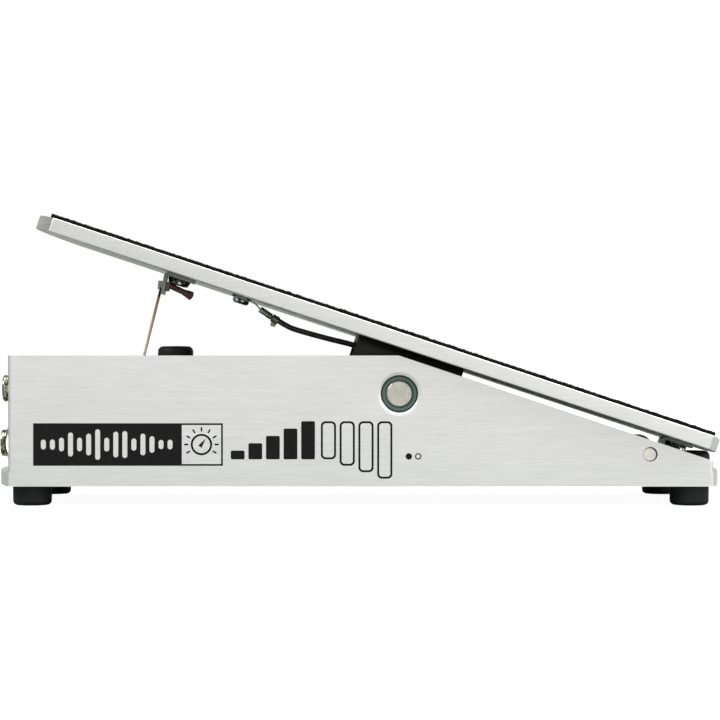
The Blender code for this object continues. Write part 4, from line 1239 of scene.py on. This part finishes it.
def make_cord_brackets():
    """The two small angles under the board that pull the cord, with a toothed washer under each screw."""
    for end in ("toe", "heel"):
        low, high = treadle_box(end + "_cord_bracket")
        sheet = 1.15 * MM
        top = BOARD_LOW.z - 0.02 * MM - sheet / 2
        face = low.x + sheet / 2
        lean = (top - low.z) * math.tan(math.radians(TONGUE_LEAN[end]))
        line = [(face + lean, low.z), (face, top), (high.x, top)]
        outline = thick_line(rounded(line, 0.9 * MM, 6, closed=False), sheet)
        angle = slab(end + "_cord_angle", outline, low.y, high.y, "Y")
        eye = Matrix.Translation((0, CORD_Y, BOARD_LOW.z - 4.6 * MM)) @ Matrix.Rotation(math.pi / 2, 4, "Y")
        combine(angle, rod("eye", 1.0 * MM, low.x - 2 * MM, low.x + 4 * MM, eye, 32))
        show(bevel_and_place(angle), "treadle", UNDERBOARD_ZINC_PAINTED_SHADE, "zinc", end + "_cord_bracket")
        screw_low, screw_high = treadle_box(end + "_cord_screw")
        spot = Vector(((screw_low.x + screw_high.x) / 2, CORD_Y, 0))
        seat = BOARD_LOW.z - sheet - 0.05 * MM
        washer = toothed_washer(end + "_toothed_washer", WASHER_STEEL, 1.7 * MM, 4.0 * MM, 0.5 * MM)
        put(washer, TREADLE @ Matrix.Translation(spot + Vector((0, 0, seat - 0.45 * MM))))
        show(washer, "treadle", WASHER_STEEL, "steel", end + "_lock_washer")


def bevel_and_place(angle):
    return put(bevel(tidy(angle), 0.12 * MM, 2), TREADLE)


def make_pan_screws():
    """The three pan-head screws under the board, dark with bright worn patches."""
    groups = {
        "bracket": ({"toe_cord_screw": 1.9 * MM, "heel_cord_screw": 1.9 * MM}, 3.75 * MM, 1.5 * MM),
        "ground": ({"ground_screw": 0.95 * MM}, 2.95 * MM, 1.7 * MM),
    }
    for group, (seats, head, height) in groups.items():
        spots = []
        for name, drop in seats.items():
            low, high = treadle_box(name)
            spots.append(Vector(((low.x + high.x) / 2, CORD_Y, BOARD_LOW.z - drop)))
        screws = copies(group + "_screws", pan_screw(head, height, 1.5 * MM, 3.5 * MM), spots, WORN_STEEL)
        show(put(screws, TREADLE), "treadle", WORN_STEEL, "steel", *seats)


def make_ground_terminal():
    """A ring terminal: its flat ring, a bent neck, a crimped barrel and the wings round the insulation."""
    low, high = treadle_box("ground_screw")
    ring_x = (low.x + high.x) / 2
    top = BOARD_LOW.z - 0.04 * MM
    sheet = 0.75 * MM
    ring = slab("ring", circle(0, 0, 3.6 * MM, 64), top - sheet, top)
    put(ring, Matrix.Translation((ring_x, CORD_Y, 0)))
    line = [
        (ring_x + 2.6 * MM, top - sheet / 2), (ring_x + 5.4 * MM, top - sheet / 2 - 0.55 * MM),
        (ring_x + 7.3 * MM, top - 2.1 * MM), (ring_x + 8.6 * MM, top - 2.9 * MM),
    ]
    strip = thick_line(rounded(line, 1.2 * MM, 5, closed=False), 0.6 * MM)
    combine(ring, slab("neck", strip, CORD_Y - 1.5 * MM, CORD_Y + 1.5 * MM, "Y"), "UNION")
    combine(ring, rod("hole", 1.7 * MM, -1, 1, Matrix.Translation((ring_x, CORD_Y, 0)), 48))
    bevel(tidy(ring), 0.1 * MM)
    start = Vector((-54.9 * MM, CORD_Y, 12.75 * MM))
    bend = Vector((-50.2 * MM, CORD_Y, 11.35 * MM))
    end = Vector((-47.4 * MM, CORD_Y, 10.75 * MM))
    barrel = crimp("barrel", start, bend, 1.35 * MM, 1.0 * MM)
    gap = crimp("throat", bend, bend + (end - bend) * 0.25, 0.9 * MM, 0.8 * MM)
    wings = crimp("wings", bend + (end - bend) * 0.1, end, 1.65 * MM, 1.62 * MM)
    outline = rounded(box_outline(-0.9 * MM, 0.9 * MM, -2.55 * MM, -1.2 * MM), 0.2 * MM, 3)
    fold = bevel(slab("fold", outline, -0.8 * MM, 0.8 * MM, "Y"), 0.12 * MM)
    put(fold, Matrix.Translation((end + bend) / 2))
    whole = join("ring_terminal", ring, barrel, gap, wings, fold)
    show(put(whole, TREADLE), "treadle", CRIMP, "nickel", "ground_terminal")


def crimp(name, start, end, radius, flat):
    """A folded barrel whose top is pressed to a seam and whose sides carry the tool's marks."""
    along = end - start
    steps = 24
    path = [start + along * i / steps for i in range(steps + 1)]
    made = tube(name, path, radius, 24, lambda t: radius * (1 - 0.09 * (math.sin(t * 6 * math.pi) ** 2)))
    axis = along.normalized()
    up = Vector((-axis.z, 0, axis.x))
    for vert in made.data.vertices:
        out = vert.co - start
        rise = out.dot(up)
        side = out.y
        seam = math.exp(-((side / (0.28 * radius)) ** 2)) * 0.28 * radius
        if rise < 0:
            vert.co = vert.co + up * (seam + (-rise) * (1 - flat / radius) * 0.6)
    return smooth(made, 40)


# ------------------------------------------------------------ cord, spring and wires

def base_run():
    """Where the cord leaves the drum, where it reaches the roller, and the way between them."""
    along = (ROD_AXIS - DRUM_AXIS).normalized()
    along.y = 0.0
    along.normalize()
    down = Vector((along.z, 0.0, -along.x))
    shift = down * CORD_TURN
    start = Vector((DRUM_AXIS.x, CORD_Y, DRUM_AXIS.z)) + shift
    end = Vector((ROD_AXIS.x, CORD_Y, ROD_AXIS.z)) + shift
    return start, end, along


def straight(start, end, spacing):
    count = max(2, round((end - start).length / spacing))
    return [start + (end - start) * i / count for i in range(count + 1)]


def tangent(centre, point, side):
    away = point - centre
    reach = math.hypot(away.x, away.z)
    angle = math.atan2(away.z, away.x) + side * math.acos(CORD_TURN / reach)
    return centre + CORD_TURN * Vector((math.cos(angle), 0.0, math.sin(angle)))


def make_spring():
    """A close-wound tension spring with a hook at each end."""
    start, _, along = base_run()
    low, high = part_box("tension_spring")
    centre = (low + high) / 2
    middle = start + along * ((centre.x - start.x) / along.x)
    length = 22.0 * MM
    body = 15.6 * MM
    radius = 2.15 * MM
    wire = 0.33 * MM
    turns = body / (2.12 * wire)
    tilt = Matrix.Rotation(math.atan2(along.x, along.z), 4, "Y")
    at = Matrix.Translation(middle) @ tilt
    winding = coil("coil", SPRING_STEEL, turns, radius, body, wire, 20)
    pieces = [put(winding, Matrix.Translation((0, 0, -body / 2)))]
    for sign in (-1, 1):
        lead = Vector((radius, 0, sign * body / 2))
        rise = Vector((radius * 0.6, -0.3 * MM, sign * (body / 2 + 0.25 * MM)))
        hook = [lead, rise]
        for i in range(29):
            angle = math.radians(-90 + 290 * i / 28)
            reach = length / 2 - 1.7 * MM + math.sin(angle) * 1.35 * MM
            hook.append(Vector((0, math.cos(angle) * 1.5 * MM, sign * reach)))
        pieces.append(tube("hook", smooth_path(hook, 0.3 * MM), wire, 10))
    whole = put(join("tension_spring_coil", *pieces), at)
    show(whole, "spring", SPRING_STEEL, "steel", "tension_spring")
    half = length / 2 - 0.5 * MM
    return middle - along * half, middle + along * half


def cord_piece(name, path, nodes):
    made = tube(name, path, CORD_RADIUS, 14)
    made.data.materials.append(CORD.material)
    if nodes:
        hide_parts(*nodes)
    return made


def make_cord():
    """The drive cord in four runs, each drawn between the pieces that hold its ends."""
    spring_toe, spring_heel = make_spring()
    leave_drum, reach_roller, _ = base_run()
    drum = Vector((DRUM_AXIS.x, CORD_Y, DRUM_AXIS.z))
    roller = Vector((ROD_AXIS.x, CORD_Y, ROD_AXIS.z))

    toe_low, _ = treadle_box("toe_cord_bracket")
    hook = TREADLE @ Vector((toe_low.x + 0.35 * MM, CORD_Y, BOARD_LOW.z - 6.4 * MM))
    touch = tangent(drum, hook, 1)
    run = cord_piece("toe_cord", straight(touch, hook, 0.8 * MM), ["cord_toe_run"])
    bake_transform(run)

    run = cord_piece("base_cord_toe", straight(leave_drum, spring_toe, 1.0 * MM), ["cord_middle_run"])
    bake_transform(run)

    run = cord_piece("base_cord_heel", straight(spring_heel, reach_roller, 1.0 * MM), ["cord_heel_run"])
    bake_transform(run)

    heel_low, _ = treadle_box("heel_cord_bracket")
    hook = TREADLE @ Vector((heel_low.x - 0.3 * MM, CORD_Y, BOARD_LOW.z - 4.8 * MM))
    touch = tangent(roller, hook, -1)
    first = math.atan2(reach_roller.z - roller.z, reach_roller.x - roller.x)
    last = math.atan2(touch.z - roller.z, touch.x - roller.x)
    angles = [first + (last - first) * i / 16 for i in range(17)]
    wrap = [roller + CORD_TURN * Vector((math.cos(a), 0.0, math.sin(a))) for a in angles]
    run = cord_piece("heel_cord", wrap + straight(touch, hook, 0.25 * MM)[1:], ["cord_heel_run"])
    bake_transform(run)
    knot = turned("heel_knot", ball(1.3 * MM, 1.1 * MM), 32)
    put(knot, Matrix.Translation(TREADLE @ Vector((heel_low.x + 2.1 * MM, CORD_Y, BOARD_LOW.z - 4.7 * MM))))
    show(knot, "treadle", KNOT, "cord_knot")


def ball(radius, half_height):
    steps = 16
    return [
        (max(0.0, radius * math.sin(math.pi * i / steps)), half_height * math.cos(math.pi * i / steps))
        for i in range(steps + 1)
    ]


def make_cord_end():
    """At the toe bracket: a pale square ferrule, a stub of black cord, and the stiff red-brown tail."""
    low, _ = treadle_box("toe_cord_bracket")
    face = low.x + 0.65 * MM
    middle = Vector((face - 0.55 * MM, CORD_Y, BOARD_LOW.z - 5.1 * MM))
    upright = Matrix.Rotation(-REST_TILT + math.radians(6), 4, "Y")
    outline = rounded(box_outline(-1.1 * MM, 1.2 * MM, -1.55 * MM, 1.55 * MM), 0.35 * MM, 4)
    ferrule = bevel(slab("cord_ferrule", outline, -1.3 * MM, 1.3 * MM, "Y"), 0.25 * MM, 3)
    put(ferrule, TREADLE @ Matrix.Translation(middle) @ upright)
    show(ferrule, "treadle", KNOT, "cord_knot", "cord_knot")
    outline = rounded(box_outline(-0.75 * MM, 0.75 * MM, -1.6 * MM, 1.6 * MM), 0.4 * MM, 4)
    clamp = bevel(slab("cord_clamp", outline, -1.6 * MM, 1.6 * MM, "Y"), 0.2 * MM, 3)
    spot = Vector((face + 1.75 * MM, CORD_Y, BOARD_LOW.z - 4.9 * MM))
    show(put(clamp, TREADLE @ Matrix.Translation(spot) @ upright), "treadle", CLAMP, "cord_tail")
    start = TREADLE @ Vector((face + 1.4 * MM, CORD_Y, BOARD_LOW.z - 4.1 * MM))
    way = Vector((math.cos(math.radians(26)), 0.0, -math.sin(math.radians(26))))
    length = 10.0 * MM
    path = [start + way * length * i / 40 for i in range(41)]
    tail = tube("cord_tail_rod", path, 0.8 * MM, 24, tail_radius)
    show(tail, "treadle", TAIL, "cord_tail", "cord_tail")
    top = TREADLE @ Vector((face - 0.3 * MM, CORD_Y - 1.1 * MM, BOARD_LOW.z - 5.9 * MM))
    path = [top, top + Vector((-0.3, 0, -1.4)) * MM, top + Vector((-0.65, 0, -3.3)) * MM]
    stub = tube("cord_black_stub", smooth_path(path, 0.2 * MM), 0.42 * MM, 12)
    show(stub, "treadle", WIRE, "black_wire")


def tail_radius(t):
    """Narrow in the middle and flared at the free end, which is rounded over."""
    flare = 0.98 + 0.16 * (1 - t) ** 2 + 0.56 * max(0.0, (t - 0.58) / 0.3) ** 1.4
    flare = min(flare, 1.55)
    tip = math.sqrt(max(0.0, 1 - max(0.0, (t - 0.93) / 0.07) ** 2))
    return max(0.02, flare * (0.25 + 0.75 * tip)) * MM


def make_wires():
    """The ground wire from its terminal past the hinge to the jacks, and the signal wires from the pot."""
    on_board = [
        (-48.6, 11.1), (-47.2, 10.95), (-44.4, 10.35), (-41.4, 10.0), (-35.2, 10.2), (-28.1, 10.6),
        (-19.7, 11.2), (-15.0, 10.6), (-11.6, 8.6), (-9.6, 5.6),
    ]
    route = [TREADLE @ Vector((x * MM, CORD_Y, z * MM)) for x, z in on_board]
    below = [
        (4.2, -15.0, 36.5), (3.6, -16.3, 31.5), (1.6, -18.0, 26.0), (-1.4, -20.0, 21.5), (-6.0, -22.0, 17.8),
        (-12.0, -23.4, 15.0), (-20.0, -24.2, 13.4), (-32.0, -24.6, 12.6), (-48.0, -24.8, 12.5),
        (-64.0, -24.4, 12.6), (-78.0, -23.6, 14.0), (-87.0, -22.0, 16.6), (-92.0, -20.6, 18.6),
        (-95.4, -19.7, 20.0),
    ]
    route += [Vector(p) * MM for p in below]
    wire = tube("ground_wire", smooth_path(route, 1.2 * MM), 0.97 * MM, 16)
    wire.data.materials.append(WIRE.material)
    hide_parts("ground_wire_upper", "ground_wire_lower")
    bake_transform(wire)
    signal_wires = (("input", RED_WIRE, -5.0), ("output", WHITE_WIRE, 0.0), ("tuner", RED_WIRE, 5.0))
    for jack, look, shift in signal_wires:
        target = jack_axis(jack) + Vector((26.6 * MM, 0, 4.0 * MM))
        make_signal_wire(jack + "_wire", look, shift, target)


def make_signal_wire(name, look, shift, target):
    top = Vector((DRUM_AXIS.x + shift * MM, -5.05 * MM, DRUM_AXIS.z + 18.9 * MM))
    outward = 1 if target.y > 0 else -1
    points = [
        top,
        top + Vector((-1.5, 1.6, 1.8)) * MM,
        Vector((-90.5 * MM, 1.0 * MM + outward * 2 * MM, top.z - 1.0 * MM)),
        Vector((-93.0 * MM, target.y * 0.6, (top.z + target.z) / 2 + 1.5 * MM)),
        target + Vector((1.6, 0, 1.4)) * MM,
        target,
    ]
    show(tube(name, smooth_path(points, 0.8 * MM), 0.55 * MM, 10), "housing", look, "black_wire")


# ------------------------------------------------------------ printed marks on the near wall

def make_print():
    """Plain level marks in black ink: a dark plate with bars left bare, a dial, and rising blocks."""
    plate_low, plate_high = 13.8, 28.3
    outlines = [box_outline(-111.7, -61.6, plate_low, plate_high)]
    middle = (plate_low + plate_high) / 2
    bars = 15
    for i in range(bars):
        x = -108.2 + i * (43.2 / (bars - 1))
        swell = math.sin(math.pi * (i + 0.5) / bars)
        half = 1.2 + 4.4 * swell * (0.62 + 0.38 * math.cos(2.2 * i))
        outlines.append(rounded(box_outline(x - 0.85, x + 0.85, middle - half, middle + half), 0.84, 6))
    outlines.append(box_outline(-61.6, -47.0, plate_low, plate_high))
    outlines.append(box_outline(-61.0, -47.6, plate_low + 0.6, plate_high - 0.6))
    outlines += dial(-54.3, middle, 5.9)
    for i in range(5):
        left = -44.3 + i * 6.0
        outlines.append(rounded(box_outline(left, left + 4.7, 16.0, 19.0 + i * 2.5), 0.5, 4))
    for i in range(4):
        left = -13.6 + i * 6.4
        low, high = 16.0 - i * 2.2, 29.0
        outlines.append(rounded(box_outline(left, left + 5.2, low, high), 1.6, 6))
        outlines.append(rounded(box_outline(left + 0.7, left + 4.5, low + 0.7, high - 0.7), 1.0, 6))
    outlines.append(circle(16.4, 17.0, 1.1, 32))
    outlines.append(circle(19.6, 17.0, 1.1, 32))
    outlines.append(circle(19.6, 17.0, 0.7, 32))
    flat = [[(x * MM, z * MM) for x, z in outline] for outline in outlines]
    wall = Matrix.Translation((0, -HALF_WIDTH - 0.012 * MM, 0)) @ TO_NEAR
    made = flat_print("wall_print", flat, 0.03 * MM, wall)
    show(made, "housing", INK, "black_plastic")


def dial(x, y, radius):
    """A ring with a pointer and ticks, as closed outlines."""
    outlines = [circle(x, y, radius * 0.62), circle(x, y, radius * 0.50)]
    for i in range(9):
        angle = math.radians(210 - 30 * i)
        way = Vector((math.cos(angle), math.sin(angle)))
        side = Vector((-way.y, way.x)) * 0.28
        near, far = way * radius * 0.76, way * radius * 1.0
        outlines.append([(x + p.x, y + p.y) for p in (near - side, far - side, far + side, near + side)])
    angle = math.radians(55)
    way = Vector((math.cos(angle), math.sin(angle)))
    side = Vector((-way.y, way.x)) * 0.7
    points = (way * radius * 0.44, side - way * 0.9, -side - way * 0.9)
    outlines.append([(x + p.x, y + p.y) for p in points])
    return outlines


# ------------------------------------------------------------ stage, light and camera

FLOOR_TONE = (0.18, 0.195, 0.175)
FLOOR_GLOW = (0.0, 0.0, 0.0)
ROOM_FRONT_TOE = (0.50, 0.47, 0.50, 1)
ROOM_FRONT_HEEL = (1.77, 1.72, 1.77, 1)
ROOM_BACK_TOE = (0.15, 0.17, 0.15, 1)
ROOM_BACK_HEEL = (0.92, 0.88, 0.85, 1)


def make_stage():
    floor = slab("floor", box_outline(-3.0, 3.0, -3.0, 3.0), -0.02, -0.0002)
    look = Look("floor_pale", (0.9, 0.9, 0.9), 0.9, Emission_Strength=1.0)
    seen = look.node("ShaderNodeLightPath").outputs["Is Camera Ray"]
    look.feed(
        Base_Color=look.mix(seen, FLOOR_TONE, (0.2, 0.2, 0.2)),
        Emission_Color=look.mix(seen, FLOOR_GLOW, (0.94, 0.94, 0.94)),
    )
    floor.data.materials.append(look.material)


def add_tone(tree, factor, first, second):
    """A colour between two, by a factor."""
    return add_node(tree, "ShaderNodeMix", {"data_type": "RGBA"}, {0: factor, 6: first, 7: second}).outputs[2]


def area_light(name, place, target, width, height, power):
    data = bpy.data.lights.new(name, "AREA")
    data.shape = "RECTANGLE"
    data.size = width
    data.size_y = height
    data.energy = power
    lamp = bpy.data.objects.new(name, data)
    bpy.context.scene.collection.objects.link(lamp)
    lamp.location = place
    lamp.rotation_euler = (Vector(target) - Vector(place)).to_track_quat("-Z", "Y").to_euler()
    return lamp


def make_light():
    middle = (0, 0, 0.04)
    area_light("top_softbox", (0, -0.1, 1.25), middle, 1.8, 0.9, 22)
    area_light("toe_strip", (-1.45, -0.65, 1.25), middle, 0.5, 0.5, 30)
    area_light("heel_softbox", (1.3, -0.6, 1.0), middle, 0.6, 0.6, 17)
    world = bpy.data.worlds.new("studio")
    bpy.context.scene.world = world
    world.use_nodes = True
    tree = world.node_tree
    way = add_node(tree, "ShaderNodeTexCoord").outputs["Generated"]
    way = add_node(tree, "ShaderNodeSeparateXYZ", None, {0: way}).outputs
    heelward = add_node(tree, "ShaderNodeMapRange", None, {0: way[0], 1: -1.0, 2: 1.0}).outputs[0]
    backward = add_node(tree, "ShaderNodeMapRange", None, {0: way[1], 1: -0.75, 2: 0.3}).outputs[0]
    front = add_tone(tree, heelward, ROOM_FRONT_TOE, ROOM_FRONT_HEEL)
    back = add_tone(tree, heelward, ROOM_BACK_TOE, ROOM_BACK_HEEL)
    room = add_tone(tree, backward, front, back)
    seen = add_node(tree, "ShaderNodeLightPath").outputs["Is Camera Ray"]
    tree.links.new(add_tone(tree, seen, room, (1, 1, 1, 1)), tree.nodes["Background"].inputs["Color"])
    bpy.context.scene.view_settings.view_transform = "Standard"


def make_camera():
    """Level with the middle of the pedal, a little toward its toe, at the near side."""
    data = bpy.data.cameras.new("side_camera")
    data.sensor_width = 36.0
    data.lens = 105.15
    data.shift_x = 0.0764
    data.shift_y = -0.0042
    data.clip_start = 0.01
    camera = bpy.data.objects.new("side_camera", data)
    bpy.context.scene.collection.objects.link(camera)
    camera.location = (-19.0 * MM, -755.1 * MM, 50.9 * MM)
    camera.rotation_euler = (math.pi / 2, 0, 0)
    bpy.context.scene.camera = camera


def repaint_kept_nodes():
    """CAD pieces whose shape stays get a proper finish."""
    for end in ("toe", "heel"):
        for side in ("near", "far"):
            node = frame["nodes"][f"board_screw_{end}_{side}"]
            node.data.materials.clear()
            node.data.materials.append(SCREW_STEEL.material)


make_camera()
make_channel()
make_base_screws()
make_feet()
make_bumpers()
make_bushings()
make_heel_rod()
make_toe_panel()
make_jacks()
make_pot_bracket()
make_potentiometer()
make_drum()
make_roller()
make_footboard()
make_grip()
make_pivot_bracket()
make_shaft()
make_cord_brackets()
make_pan_screws()
make_ground_terminal()
make_cord()
make_cord_end()
make_wires()
make_print()
repaint_kept_nodes()
make_stage()
make_light()
